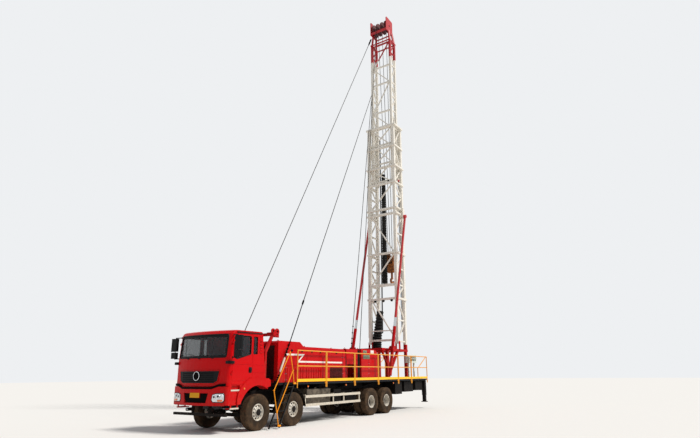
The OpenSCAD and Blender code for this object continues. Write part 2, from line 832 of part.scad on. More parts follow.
module engine_housing() {
    color(red) placed() difference() {
        side_profile(-housing_half_w, housing_half_w) polygon(engine_outline(0));
        side_profile(-housing_half_w + sheet, housing_half_w - sheet) polygon(engine_outline(sheet));
        both_sides() for (x = louvre_x)
            box([x, x + 40], [housing_half_w - 18, housing_half_w + 5], [1580, 1950]);
    }
}

module engine_block() {
    color("#5a5c5e") placed() {
        box([1500, 3000], [-400, 400], [deck_z + fit, 2380]);
        box([-950, 300], [-310, 310], [680, 1240]);
        both_sides() box([-820, -700], [300, rail_y - rail_w / 2 - fit], [rail_z, rail_z + 14]);
    }
}

gear_half = housing_half_w - 80;

module gearbox_housing() {
    color(red) placed() {
        difference() {
            box([gear_x0, gear_x1], [-gear_half, gear_half], [2120, 2750]);
            box([gear_x0 + sheet, gear_x1 - sheet], [-gear_half + sheet, gear_half - sheet], [2100, 2750 - sheet]);
        }
        both_sides() for (x = [gear_x0 + 5, gear_x1 - 85])
            box([x, x + 80], [gear_half - 90, gear_half - 10], [deck_z + fit, 2200]);
        box([gear_x0 + 80, gear_x1 - 80], [-420, 420], [deck_z + fit, 2080]);
        box([gear_x0 + 300, gear_x1 - 300], [-150, 150], [2080, 2750 - sheet]);
    }
}

// Outline of the drawworks housing from the side, drawn in by g
winch_top = 2780;
winch_bend = 380;
function winch_outline(g) = concat([[winch_x0 + g, deck_z + fit - g], [winch_x0 + g, winch_top - g]],
    arc(winch_x1 - winch_bend, winch_top - winch_bend, winch_bend - g, 90, 0, 8),
    [[winch_x1 - g, deck_z + fit - g]]);

module drawworks_housing() {
    slot_y = sheave_y[3] + 60;
    color(red) placed() difference() {
        side_profile(-housing_half_w, housing_half_w) polygon(winch_outline(0));
        side_profile(-housing_half_w + sheet, housing_half_w - sheet) polygon(winch_outline(sheet));
        box([drum_x + drum_r - 60, drum_x + drum_r + 160], [-slot_y, slot_y], [2300, 2900]);
    }
}

module drawworks_stand() {
    color(dark_red) placed() both_sides() difference() {
        side_profile(560, 600) polygon([[drum_x - 400, deck_z + fit], [drum_x + 400, deck_z + fit],
            [drum_x + 120, drum_z + 140], [drum_x - 120, drum_z + 140]]);
        cross_pin(drum_x, drum_z, 550, 610, 120 + 2 * fit);
    }
}

module drum() {
    color(steel) placed() {
        cross_pin(drum_x, drum_z, -620, 620, 120);
        cross_pin(drum_x, drum_z, -500, 500, 2 * drum_r);
        both_sides() cross_pin(drum_x, drum_z, 500, 540, 2 * drum_r + 200);
    }
}

// Frame on the deck that carries the mast's feet and the rams
support_y = lower_y;
support_top = 2920;
leg_drop = 60;
hinge_pin_d = 70;
eye_w = rod_d + 14;
front_foot_x = hinge_x;
rear_foot_x = hinge_x + lower_depth;

module foot_bracket() {
    both_sides()
        for (s = [-1, 1])
            let (y = support_y + s * (lower_leg / 2 + 25)) {
                box([front_foot_x - 70, front_foot_x + 70], [y - 15, y + 15], [2900, hinge_z]);
                cross_pin(front_foot_x, hinge_z, y - 15, y + 15, 140);
            }
    both_sides() cross_pin(front_foot_x, hinge_z, support_y - lower_leg / 2 - 40,
        support_y + lower_leg / 2 + 40, hinge_pin_d);
}

// Trunnion bearings of the rams. Their arm crosses ahead of and below the barrel, where
// neither end of it swings.
module ram_bracket() {
    arm = [ram_x - 180, ram_z - 120];
    inside = barrel_d / 2 + 20;
    both_sides() {
        box([arm.x - 35, arm.x + 35], [support_y + 60, ram_y + inside + 30], [arm.y - 35, arm.y + 35]);
        for (y0 = [ram_y - inside - 30, ram_y + inside])
            difference() {
                side_profile(y0, y0 + 30)
                    polygon([[arm.x - 35, arm.y - 35], [arm.x + 60, arm.y - 35], [ram_x + 70, ram_z - 40],
                        [ram_x + 70, ram_z + 70], [ram_x - 70, ram_z + 70], [arm.x - 35, arm.y + 60]]);
                cross_pin(ram_x, ram_z, y0 - 10, y0 + 40, 60 + 2 * fit);
            }
    }
}

module mast_support() {
    beam_z = [support_top - 120, support_top];
    color(red) placed() {
        both_sides() {
            box([8850, rear_foot_x + 130], [support_y - 70, support_y + 70], beam_z);
            side_profile(support_y - 60, support_y + 60)
                polygon([[9360, deck_z + fit], [9640, deck_z + fit], [9540, beam_z[0]], [9400, beam_z[0]]]);
            strut([9560, support_y, 1640], [front_foot_x - 60, support_y, beam_z[0] + 20], 110);
            strut([rear_foot_x, support_y, deck_z + fit], [rear_foot_x, support_y, beam_z[0] + 20], 130);
            strut([8920, support_y, beam_z[0] + 30], [9420, support_y, 2200], 90);
            box([rear_foot_x - 80, rear_foot_x + 80], [support_y - 70, support_y + 80],
                [beam_z[1], hinge_z - leg_drop - (lower_depth + lower_leg / 2) * sin(lean) - 1]);
        }
        for (x = [8900, 10300, rear_foot_x - 60])
            box([x, x + 110], [-support_y + 70 + fit, support_y - 70 - fit], beam_z);
        foot_bracket();
        ram_bracket();
    }
}

// RAILING

// Left edge and right edge of each railing panel
panel_x = [[1930, 3690], [3750, 5740], [5800, 7720], [7780, 9640], [9700, 11040],
    [11100, deck_end - 30]];

module railing_panel(x0, x1) {
    for (x = [x0, x1]) {
        pipe([x, railing_y, deck_z - 200], [x, railing_y, railing_top], railing_d);
        box([x - 40, x + 40], [body_w / 2 - 10 + fit, railing_y], [deck_z - 70, deck_z - 20]);
    }
    for (z = [railing_mid, railing_top])
        pipe([x0 - railing_d / 2, railing_y, z], [x1 + railing_d / 2, railing_y, z], railing_d);
    box([x0, x1], [railing_y - 6, railing_y + 2], [deck_z + 10, deck_z + 110]);
}

module railing(side) {
    brace_x = panel_x[5][0] + 720;
    color(yellow) placed() on_side(side) {
        for (p = panel_x) railing_panel(p[0], p[1]);
        pipe([brace_x + 80, railing_y, railing_mid], [panel_x[5][1] - 80, railing_y, railing_top], railing_d);
        pipe([brace_x, railing_y, deck_z + 60], [brace_x, railing_y, railing_mid], railing_d);
    }
}

module railing_left() railing(-1);
module railing_right() railing(1);

// Steps from the deck down to the ground on the left side
ladder_foot = [570, -edge_y - 170, 40];
ladder_head = [1500, -edge_y - 40, deck_z + 10];
ladder_half = 250;
hand_d = 34;

// Handrail on the ladder's rear stringer: a post at its foot and two rails up to a post at its head
module hand_rail() {
    foot = [720, -edge_y - 230, 100];
    knee = [670, -edge_y - 190, 515];
    bend = [560, -edge_y - 130, 1215];
    top = [1397, -edge_y - 100, 2487];
    mid = [1572, -edge_y - 100, 1859];
    end = [1640, -edge_y - 100, deck_z - 40];
    for (r = [[foot, knee], [knee, bend], [bend, top], [knee, mid], [top, mid], [mid, end]])
        pipe(r[0], r[1], hand_d, $fn = 8);
    for (p = [knee, bend, top, mid]) cross_pin(p.x, p.z, p.y - 22, p.y + 22, hand_d + 12, $fn = 12);
    box([foot.x - 20, ladder_foot.x + ladder_half + 20], [foot.y - 10, ladder_foot.y + 15],
        [foot.z - 20, foot.z + 30]);
    box([end.x - 20, ladder_head.x + ladder_half], [end.y - 10, ladder_head.y], [end.z - 20, end.z + 40]);
}

module deck_ladder() {
    rungs = 5;
    dir = ladder_head - ladder_foot;
    color(black) placed() {
        for (s = [-ladder_half, ladder_half])
            strut(ladder_foot + [s, 0, 0], ladder_head + [s, 0, 0], 44);
        for (i = [1:rungs])
            let (p = ladder_foot + dir * i / (rungs + 0.6))
                box([p.x - ladder_half, p.x + ladder_half], [p.y - 15, p.y + 15], [p.z - 15, p.z + 15]);
        for (s = [-ladder_half, ladder_half])
            box([ladder_head.x + s - 30, ladder_head.x + s + 30],
                [ladder_head.y - 20, -edge_y + 10 - fit], [deck_z - 60, deck_z - 20]);
    }
    color(yellow) placed() hand_rail();
}

module side_guards() {
    guard_x = [axle_x[1] + 710, axle_x[2] - 910];
    guard_y = edge_y - 70;
    color(cream) placed() both_sides() {
        for (z = [600, 900])
            box([guard_x[0], guard_x[1]], [guard_y, guard_y + 30], [z, z + 90]);
        for (x = [guard_x[0] + 10, tank_x[1] + 60, 5050, guard_x[1] - 60]) {
            box([x, x + 50], [guard_y - 30, guard_y], [600, 990]);
            box([x, x + 50], [rail_face, guard_y], [960, 1010]);
        }
    }
}

tank_x = [2750, 4250];
tank_y = [520, edge_y - 170];
tank_z = [620, 1200];

module tanks() {
    wall = 6;
    color("#7c8084") placed() both_sides() {
        difference() {
            box(tank_x, tank_y, tank_z);
            box(tank_x + [wall, -wall], tank_y + [wall, -wall], tank_z + [wall, -wall]);
            translate([0, tank_y[1], tank_z[1]]) rotate([45, 0, 0]) box(tank_x + [-5, 5], [-26, 26], [-4, 40]);
        }
        for (x = [tank_x[0] + 120, tank_x[1] - 180])
            box([x, x + 60], [rail_face, tank_y[1] - 60], [tank_z[1], tank_z[1] + 40]);
        for (x = [tank_x[0] + 250, tank_x[1] - 280]) {
            box([x, x + 40], [tank_y[1], tank_y[1] + 5], [tank_z[0], tank_z[1] - 40]);
            box([x, x + 40], [tank_y[0], tank_y[1] + 5], [tank_z[0] - 5, tank_z[0]]);
        }
        translate([tank_x[0] + 620, tank_y[1] - 120, tank_z[1] - 2]) cylinder(d = 110, h = 40);
    }
}

// Closed boxes hung under the deck: [front, rear, inner side, outer side, bottom, top]
chassis_boxes = [[4450, 4980, 640, 1100, 700, 1150], [9560, 10250, 560, 1130, 780, 1330],
    [10560, 11500, 520, 1100, 860, 1340], [11750, 12560, 520, 1130, 900, 1340]];
// Air reservoirs: [front, rear, middle across, height]
air_tanks = [[5330, 6150, 980, 800], [5330, 6150, 760, 1020]];

module under_deck() {
    for (b = chassis_boxes) difference() {
        box([b[0], b[1]], [b[2], b[3]], [b[4], b[5]]);
        box([b[0] + 12, b[1] - 12], [b[2] + 12, b[3] - 12], [b[4] + 12, b[5] - 12]);
    }
    for (b = chassis_boxes, x = [b[0] + 80, b[1] - 140])
        box([x, x + 60], [rail_y, b[2] + 10], [b[4] + 60 < rail_z ? rail_z + 40 : b[4] + 60, rail_top - 20]);
    for (t = air_tanks) {
        translate([t[0], t[2], t[3]]) rotate([0, 90, 0]) cylinder(d = 230, h = t[1] - t[0]);
        for (x = [t[0] + 120, t[1] - 180])
            box([x, x + 50], [rail_y, t[2]], [rail_z + 60, rail_z + 110]);
    }
}

module control_console() {
    console_x = hinge_x + 430;
    console_y = edge_y - 70;
    color(steel) placed() {
        side_profile(-console_y, -console_y + 220)
            polygon([[console_x, 2250], [console_x + 850, 2250], [console_x + 850, 2660], [console_x, 2600]]);
        for (x = [console_x + 100, console_x + 700])
            box([x, x + 60], [-console_y + 80, -console_y + 140], [deck_z + fit, 2250]);
    }
}

// The hydraulic legs at the rear corners, drawn up
module jack(side) {
    leg = jack_tube - 2 * jack_wall - 2 * fit;
    color(black) placed() on_side(side) {
        box([jack_x - leg / 2, jack_x + leg / 2], [jack_y - leg / 2, jack_y + leg / 2],
            [jack_foot_z + 30, deck_z - 130]);
        translate([jack_x, jack_y, jack_foot_z]) cylinder(d = 340, h = 30, $fn = 48);
    }
}

module jack_left() jack(-1);
module jack_right() jack(1);

// MAST

// Heights of the lower section's rings above the hinge
lower_levels = [75, 1150, 2270, 3010, 3900, 4750, 5870, 6990, 7300, 8100, 8840, 9850, 11120, 12400];
// Heights of the upper section's rings above the hinge
upper_levels = [9080, 10200, 11400, 12450, 13580, 14550, 15530, 16730, 17600, 18380];

// Side truss: two legs, rungs at each level and diagonals that alternate
module side_truss(foot, top, x0, depth, y, leg, levels) {
    for (x = [x0, x0 + depth])
        box([x - leg / 2, x + leg / 2], [y - leg / 2, y + leg / 2], [foot, top]);
    for (z = levels)
        box([x0, x0 + depth], [y - brace / 2, y + brace / 2], [z - brace / 2, z + brace / 2]);
    for (i = [0:len(levels) - 2])
        let (a = i % 2 == 0 ? x0 : x0 + depth, b = i % 2 == 0 ? x0 + depth : x0)
            strut([a, y, levels[i]], [b, y, levels[i + 1]], brace - 10);
}

// Guide pads inside the lower legs that the upper section slides in
module guide_pads() {
    for (z = [upper_foot + 200, lower_l - 230]) {
        box([20, upper_front_x + 40], [upper_w / 2 + guide_gap, guide_y + 10], [z, z + 100]);
        box([upper_front_x + upper_depth - 40, lower_depth - 20], [upper_w / 2 + guide_gap, guide_y + 10],
            [z, z + 100]);
    }
}

// Front bracing between the legs: [height, thickness, how far its collar stands out past the legs]
lower_beams = [[130, 100, 0], [620, 50, 0], [2270, 100, 60], [3010, 130, 0], [4750, 90, 60],
    [6990, 90, 90], [7300, 90, 90], [8840, 90, 60], [9850, 90, 90], [11120, 90, 60], [12440, 100, 90]];
collar_front = 125;

// Collars of channel that run along the outside of the legs
module side_collars() {
    for (b = lower_beams)
        if (b[2] > 0)
            box([-lower_leg / 2, lower_depth + lower_leg / 2], [lower_w / 2 - 5, lower_w / 2 + b[2]],
                [b[0] - b[1] / 2, b[0] + b[1] / 2]);
}

// Arms that carry the lug beside the ram's eye
module ram_outrigger() {
    lug_y = ram_y - eye_w / 2 - 6;
    for (z = [lower_levels[7], lower_levels[8]])
        box([ram_eye_back - 60, ram_eye_back + 60], [lower_y, lug_y], [z - 45, z + 45]);
    box([ram_eye_back - 80, ram_eye_back + 80], [lug_y - 30, lug_y],
        [ram_eye_up - 110, lower_levels[8] + 45]);
}

module lower_side(side) {
    color(cream) mast_frame() on_side(side) {
        difference() {
            union() {
                side_truss(-leg_drop, lower_l, 0, lower_depth, lower_y, lower_leg, lower_levels);
                guide_pads();
                side_collars();
            }
            cross_pin(0, 0, 0, lower_w, hinge_pin_d + 2 * fit);
        }
        ram_outrigger();
    }
}

module lower_side_left() lower_side(-1);
module lower_side_right() lower_side(1);

// Front diagonals: [lower height, upper height, side that the lower end is on]
lower_diagonals = [[190, 2200, -1], [3090, 4690, 1], [4810, 6930, -1], [7360, 8780, 1],
    [8900, 9790, -1], [9910, 11060, 1], [11180, 12370, -1]];

module lower_front() {
    inner = lower_y - lower_leg / 2 - fit;
    color(cream) mast_frame() {
        for (b = lower_beams)
            box([b[2] > 0 ? -collar_front : -b[1] / 2, b[1] / 2], [-inner, inner],
                [b[0] - b[1] / 2, b[0] + b[1] / 2]);
        for (b = lower_beams)
            if (b[2] > 0)
                box([-collar_front, -lower_leg / 2 - fit], [-lower_w / 2 - b[2], lower_w / 2 + b[2]],
                    [b[0] - b[1] / 2, b[0] + b[1] / 2]);
        for (d = lower_diagonals)
            strut([0, d[2] * (inner - 40), d[0]], [0, -d[2] * (inner - 40), d[1]], brace - 10);
    }
}

module mast_ladder() {
    y = lower_w / 2 + 110;
    rail_x = [100, 400];
    color(cream) mast_frame() {
        for (x = rail_x) box([x - 15, x + 15], [y - 15, y + 15], [300, 12400]);
        for (z = [400:350:12300]) box(rail_x, [y - 12, y + 12], [z - 12, z + 12]);
        for (z = [lower_levels[1], lower_levels[4], lower_levels[6], lower_levels[9]], x = rail_x)
            box([x - 15, x + 15], [lower_y + brace / 2 + fit, y], [z - 20, z + 20]);
    }
}

module upper_side(side) {
    color(cream) mast_frame() on_side(side)
        side_truss(upper_foot, upper_top, upper_front_x, upper_depth, upper_y, upper_leg, upper_levels);
}

module upper_side_left() upper_side(-1);
module upper_side_right() upper_side(1);

upper_beams = [9080, 10200, 11400, 12450, 13580, 15530, 16730, 18380];

module upper_front() {
    inner = upper_y - upper_leg / 2 - fit;
    color(cream) mast_frame() {
        for (z = upper_beams)
            box([upper_front_x - 40, upper_front_x + 40], [-inner, inner], [z - 40, z + 40]);
        for (i = [0:len(upper_beams) - 2])
            let (s = i % 2 == 0 ? 1 : -1)
                strut([upper_front_x, s * (inner - 30), upper_beams[i] + 40],
                    [upper_front_x, -s * (inner - 30), upper_beams[i + 1] - 40], brace - 15);
    }
}

// Crown: a red frame on the mast's top with the sheaves between its plates
module crown_frame() {
    base = upper_top + fit;
    x0 = upper_front_x - upper_leg / 2;
    x1 = upper_front_x + upper_depth + upper_leg / 2;
    color(red) mast_frame() {
        both_sides() {
            box([x0 - 60, x1 + 70], [upper_y - 60, upper_y + 60], [base, base + 80]);
            for (x = [x0 + 60, x1 - 60])
                strut([x, upper_y, base + 40], [crown_mid_x + (x - crown_mid_x) * 0.7, 560, crown_shaft - 350], 100);
            difference() {
                side_profile(540, 580) polygon([[crown_mid_x - 400, crown_shaft - 480],
                    [crown_mid_x + 400, crown_shaft - 480], [crown_mid_x + 400, crown_shaft + 440],
                    [crown_mid_x + 340, crown_shaft + 500], [crown_mid_x - 340, crown_shaft + 500],
                    [crown_mid_x - 400, crown_shaft + 440]]);
                cross_pin(crown_mid_x, crown_shaft, 500, 600, 100 + 2 * fit);
            }
        }
        for (x = [x0 - 60, x1 + 10])
            box([x, x + 60], [-upper_y, upper_y], [base, base + 60]);
        box([crown_mid_x - 400, crown_mid_x - 340], [-560, 560], [crown_shaft - 480, crown_shaft - 330]);
        box([crown_mid_x + 300, crown_mid_x + 360], [-560, 560], [crown_shaft - 480, crown_shaft - 420]);
    }
}

groove_r = sheave_r - 8;
crown_world_x = block_x - groove_r - rope_d / 2 - fit;
crown_mid_x = (crown_world_x - hinge_x - crown_shaft * sin(lean)) / cos(lean);
crown_world_z = hinge_z + crown_shaft * cos(lean) - crown_mid_x * sin(lean);
sheave_y = [-430, -150, 150, 430];

module crown_sheaves() {
    color(dark_red) mast_frame() {
        cross_pin(crown_mid_x, crown_shaft, -600, 600, 100);
        for (y = sheave_y)
            translate([crown_mid_x, y, crown_shaft]) rotate([90, 0, 0])
                rotate_extrude($fn = 64) polygon([[40, -35], [sheave_r + 20, -35], [groove_r, -rope_d / 2 - 2],
                    [groove_r, rope_d / 2 + 2], [sheave_r + 20, 35], [40, 35]]);
    }
}

// Falls of the drilling line between crown and travelling block
module drill_lines() {
    color(black) placed()
        for (y = sheave_y)
            pipe([block_x, y * 0.45, block_top + fit], [block_x, y, crown_world_z], rope_d);
}

module travelling_block() {
    color(yellow) placed() translate([block_x, 0, 0]) {
        difference() {
            side_profile(-230, 230) polygon([[-170, block_top], [170, block_top], [240, block_top - 260],
                [200, block_top - 900], [110, block_top - 1160], [-110, block_top - 1160],
                [-200, block_top - 900], [-240, block_top - 260]]);
            box([-300, 300], [-150, 150], [block_top - 700, block_top + 10 - 60]);
        }
        for (y = [-110, 0, 110])
            translate([0, y, block_top - 420]) rotate([90, 0, 0]) cylinder(d = 460, h = 60, center = true);
        cross_pin(0, block_top - 420, -240, 240, 90);
    }
    color(black) placed() translate([block_x, 0, block_top - 1160]) {
        translate([0, 0, -330]) cylinder(d = 120, h = 340);
        difference() {
            union() {
                translate([0, -50, -470]) rotate([-90, 0, 0]) cylinder(d = 340, h = 100);
            }
            translate([0, -60, -470]) rotate([-90, 0, 0]) cylinder(d = 180, h = 120);
            box([30, 200], [-60, 60], [-470, -330]);
        }
    }
}

// A point of the mast's frame, seen from the first axle
function mast_point(x, y, z) = [hinge_x + x * cos(lean) + z * sin(lean), y,
    hinge_z + z * cos(lean) - x * sin(lean)];

// Where a line's end clears a flat top at height z: v is the line's direction
function end_gap(v) = rope_d / 2 * norm([v.x, v.y]) / norm(v) + fit;

// Guy lines and the fast line: [end on the mast, end on the truck]
leg_face = upper_front_x - upper_leg / 2 - rope_d / 2 - fit;
stays = [
    [mast_point(leg_face - 60, 600, upper_top + 40), [anchor_x, anchor_y, anchor_z]],
    [mast_point(leg_face, 635, 16350), [anchor_x, -anchor_y, anchor_z]],
    [mast_point(leg_face, 600, 16150), [8920, support_y, support_top]]];
// The fast line runs from the drum's rear to the front of the far sheave
fast_line = [[crown_world_x - (groove_r + rope_d / 2 + fit) * cos(8.6), sheave_y[3],
        crown_world_z + (groove_r + rope_d / 2 + fit) * sin(8.6)],
    [drum_x + drum_r + rope_d / 2 + fit, sheave_y[3], drum_z]];

module stay_lines() {
    color(black) placed() {
        for (s = stays)
            pipe(s[1] + [0, 0, end_gap(s[0] - s[1])], s[0], rope_d);
        pipe(fast_line[1], fast_line[0], rope_d);
    }
}

// RAMS

ram_top = [hinge_x + ram_eye_back * cos(lean) + ram_eye_up * sin(lean), 0,
    hinge_z + ram_eye_up * cos(lean) - ram_eye_back * sin(lean)];
ram_v = ram_top - [ram_x, 0, ram_z];
ram_angle = atan2(ram_v.x, ram_v.z);
ram_l = norm(ram_v);
barrel_back = 1350;
barrel_front = 1050;

module ram_frame(side) {
    placed() translate([ram_x, side * ram_y, ram_z]) rotate([0, ram_angle, 0]) children();
}

module ram_barrel(side) {
    color(red) ram_frame(side) {
        difference() {
            translate([0, 0, -barrel_back]) cylinder(d = barrel_d, h = barrel_back + barrel_front);
            translate([0, 0, -barrel_back + 40]) cylinder(d = rod_d + 2 * fit, h = barrel_back + barrel_front);
        }
        for (s = [-1, 1])
            translate([0, s * (barrel_d / 2 - 10), 0]) rotate([-90 * s, 0, 0]) cylinder(d = 60, h = 60);
    }
}

module ram_rod(side) {
    color(red) ram_frame(side) {
        translate([0, 0, 500]) cylinder(d = rod_d, h = ram_l - 500 - 40);
        translate([0, -eye_w / 2, ram_l]) rotate([-90, 0, 0]) cylinder(d = 180, h = eye_w);
    }
}

module ram_barrel_left() ram_barrel(-1);
module ram_barrel_right() ram_barrel(1);
module ram_rod_left() ram_rod(-1);
module ram_rod_right() ram_rod(1);

chassis_frame();
deck();
front_axles();
rear_axles();
cab_shell();
cab_glass();
cab_interior();
front_bumper();
grille();
mirrors();
fenders();
mast_rest();
engine_housing();
engine_block();
gearbox_housing();
drawworks_housing();
drawworks_stand();
mast_support();
railing_left();
railing_right();
deck_ladder();
side_guards();
tanks();
control_console();
stay_lines();
lower_side_left();
lower_side_right();
lower_front();
mast_ladder();
upper_side_left();
upper_side_right();
upper_front();
crown_frame();
crown_sheaves();
drill_lines();
travelling_block();
ram_barrel_left();
ram_barrel_right();
ram_rod_left();
ram_rod_right();
drum();
knuckle_1_left();
knuckle_1_right();
knuckle_2_left();
knuckle_2_right();
wheel_1_left();
wheel_1_right();
wheel_2_left();
wheel_2_right();
wheel_3_left();
wheel_3_right();
wheel_4_left();
wheel_4_right();
door_left();
door_right();
door_glass_left();
door_glass_right();
jack_left();
jack_right();
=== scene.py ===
"""Finishes, fittings and light for a truck-mounted workover rig standing with its mast raised.

Lengths are in metres. Truck pieces are measured from the first axle and mast pieces from the
mast's hinge, and each is moved to the model's own origin when it is finished.
"""
import math

import bmesh
import bpy
from mathutils import Matrix, Vector


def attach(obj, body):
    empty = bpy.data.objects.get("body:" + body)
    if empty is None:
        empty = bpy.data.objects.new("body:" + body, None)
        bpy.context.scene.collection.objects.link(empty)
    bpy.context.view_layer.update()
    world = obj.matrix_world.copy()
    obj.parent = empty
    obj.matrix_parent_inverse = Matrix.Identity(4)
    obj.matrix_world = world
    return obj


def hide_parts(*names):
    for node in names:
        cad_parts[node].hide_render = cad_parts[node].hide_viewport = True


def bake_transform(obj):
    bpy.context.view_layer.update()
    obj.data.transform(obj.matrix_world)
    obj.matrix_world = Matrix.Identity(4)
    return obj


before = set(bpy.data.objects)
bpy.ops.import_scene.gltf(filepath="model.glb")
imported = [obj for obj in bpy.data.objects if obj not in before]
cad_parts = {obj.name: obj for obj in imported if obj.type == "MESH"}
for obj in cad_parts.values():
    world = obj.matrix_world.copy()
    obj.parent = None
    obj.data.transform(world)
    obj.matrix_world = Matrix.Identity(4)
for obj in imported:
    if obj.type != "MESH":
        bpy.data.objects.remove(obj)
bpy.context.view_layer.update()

# Places and sizes

FIRST_AXLE = -5.67
AXLES = (0.0, 1.8, 7.19, 8.54)
HUB_HEIGHT = 0.5625
RIM_RADIUS = 0.262
HUB_RADIUS = 0.105
TWIN_DISH_RADIUS = 0.212
TREAD_RADIUS = 0.535
TREAD_PITCHES = 56
CAB_SIDE = 1.225
CAB_FACE = -1.56
BUMPER_FACE = -1.61
FRONT_BOW = 0.19
FRONT_RAKE = 0.1
RAKE_FOOT = 2.2
RAKE_HEAD = 3.0
HOUSING_SIDE = 1.13
DECK = 1.46
DECK_SIDE = 1.25
DECK_EDGE = 0.012
KICK_FOOT = DECK + 0.008
KICK_HEAD = DECK + 0.112
# The ladder leans in by so much a metre from its foot, and its handrail stands outside this line
LADDER_LEAN = 0.0909
LADDER_RAIL = -1.42 - 0.04 * LADDER_LEAN - 0.034
RAM_TUBE_FOOT = 4.42
HINGE = Vector((10.62, 0, 3.25))
LEAN = math.radians(1.35)
LOWER_SIDE = 0.87
LOWER_LEG = 0.075
LOWER_DEPTH = 0.82
UPPER_FRONT = 0.15
UPPER_LEG = 0.065
UPPER_DEPTH = 0.54
RED_PAINT_FOOT = 20.5
RING_BEAM = 2.27
# A turned shape ends in a ring of this radius where its profile comes to a point
THINNEST = 0.0005

SHIFT = Vector((FIRST_AXLE, 0, 0))
TRUCK = Matrix.Translation(SHIFT)
MAST = Matrix.Translation(HINGE + SHIFT) @ Matrix.Rotation(LEAN, 4, "Y")
SIDES = ((-1, "left"), (1, "right"))

# Small tools


def linear(hex_colour):
    """An sRGB hex colour as linear red, green, blue and alpha."""
    parts = [int(hex_colour[i : i + 2], 16) / 255 for i in (1, 3, 5)]
    return [c / 12.92 if c <= 0.04045 else ((c + 0.055) / 1.055) ** 2.4 for c in parts] + [1.0]


def add(tree, kind, inputs=None, **settings):
    """A new node with its settings made and its inputs set or linked."""
    node = tree.nodes.new(kind)
    for key, value in settings.items():
        setattr(node, key, value)
    for key, value in (inputs or {}).items():
        if isinstance(value, bpy.types.NodeSocket):
            tree.links.new(value, node.inputs[key])
        else:
            node.inputs[key].default_value = value
    return node


def angles(count):
    """Equal steps of a full turn, with the first not repeated at the end."""
    return [2 * math.pi * k / count for k in range(count)]


class Finish:
    """A material that is put together in steps, each of which gives a socket."""

    def __init__(self, name):
        self.material = bpy.data.materials.new(name)
        self.material.use_nodes = True
        self.tree = self.material.node_tree
        self.tree.nodes.clear()
        self.place = add(self.tree, "ShaderNodeTexCoord").outputs["Object"]

    def step(self, kind, output, inputs, **settings):
        """One node's output."""
        return add(self.tree, kind, inputs, **settings).outputs[output]

    def noise(self, scale, detail, roughness=0.5, place=None):
        """Clouds or grain, finer as the scale grows."""
        return self.step("ShaderNodeTexNoise", "Fac", {"Vector": place or self.place, "Scale": scale,
                                                       "Detail": detail, "Roughness": roughness})

    def bands(self, scale, distortion):
        """Slanting bands."""
        return self.step("ShaderNodeTexWave", "Fac", {"Vector": self.place, "Scale": scale, "Distortion": distortion},
                         wave_type="BANDS", bands_direction="DIAGONAL")

    def moved(self, **changes):
        """The place after a change of Location or Scale."""
        return self.step("ShaderNodeMapping", "Vector", {"Vector": self.place, **changes})

    def axes(self, place=None):
        """X, Y and Z of the place."""
        return tuple(add(self.tree, "ShaderNodeSeparateXYZ", {"Vector": place or self.place}).outputs)

    def ramp(self, value, start, end, low=0.0, high=1.0):
        """From low to high while the value goes from start to end."""
        return self.step("ShaderNodeMapRange", "Result", {"Value": value, "From Min": start, "From Max": end,
                                                          "To Min": low, "To Max": high})

    def maths(self, operation, *values):
        """One step of arithmetic on sockets or numbers."""
        return self.step("ShaderNodeMath", 0, dict(enumerate(values)), operation=operation)

    def mix(self, share, first, second):
        """Two colours, each a hex colour or a socket; the share is how much there is of the second."""
        first, second = (linear(c) if isinstance(c, str) else c for c in (first, second))
        return self.step("ShaderNodeMix", "Result", {"Factor": share, "A": first, "B": second}, data_type="RGBA")

    def between(self, share, first, second):
        """The same with two numbers."""
        return self.step("ShaderNodeMix", "Result", {"Factor": share, "A": first, "B": second}, data_type="FLOAT")

    def bump(self, height, strength, depth):
        """Relief of this depth."""
        return self.step("ShaderNodeBump", "Normal", {"Height": height, "Strength": strength, "Distance": depth})

    def surface(self, kind, inputs):
        """The finished material, with one shader on its surface."""
        add(self.tree, "ShaderNodeOutputMaterial", {"Surface": self.step(kind, "BSDF", inputs)})
        return self.material

    def close(self, colour, roughness, others):
        """The same with the shader that all but the floor have."""
        return self.surface("ShaderNodeBsdfPrincipled", {"Base Color": colour, "Roughness": roughness, **others})


# Finishes


def dusty_paint(name, colour, faded, dust="#8a7458", roughness=0.32, coat=0.05, low=0.5, high=1.9, grime=0.35,
                black_past=None, plate=None):
    """Sprayed enamel on sheet steel, faintly faded, with road dust.

    Past a place along the truck it is black, and a panel across the middle has a colour of its own.
    """
    paint = Finish(name)
    # Fading comes in clouds about half a metre across
    base = paint.mix(paint.noise(2.1, 4.0, 0.6), colour, faded)
    x, y, z = paint.axes()
    if black_past is not None:
        base = paint.mix(paint.maths("GREATER_THAN", x, black_past + FIRST_AXLE), base, BLACK_ENAMEL)
    if plate is not None:
        half_width, foot, head, plate_colour = plate
        inside = paint.maths("LESS_THAN", paint.maths("ABSOLUTE", y), half_width)
        level = paint.maths("COMPARE", z, (foot + head) / 2, (head - foot) / 2)
        base = paint.mix(paint.maths("MULTIPLY", inside, level), base, plate_colour)
    # Dust lies in blotches and is thicker near the ground
    blotches = paint.ramp(paint.noise(14.0, 8.0, 0.7), 0.42, 0.7)
    dusty = paint.maths("MULTIPLY", paint.ramp(z, high, low, 0.04), blotches)
    dusty = paint.maths("MULTIPLY", dusty, grime)
    # Orange peel of sprayed paint, drawn at 8 mm so that it shows
    peel = paint.bump(paint.noise(120.0, 2.0), 0.05, 0.004)
    return paint.close(paint.mix(dusty, base, dust), paint.ramp(dusty, 0.0, 1.0, roughness, 0.85),
                       {"Normal": peel, "Coat Weight": coat, "Coat Roughness": 0.12, "IOR": 1.5,
                        "Specular IOR Level": 0.08})


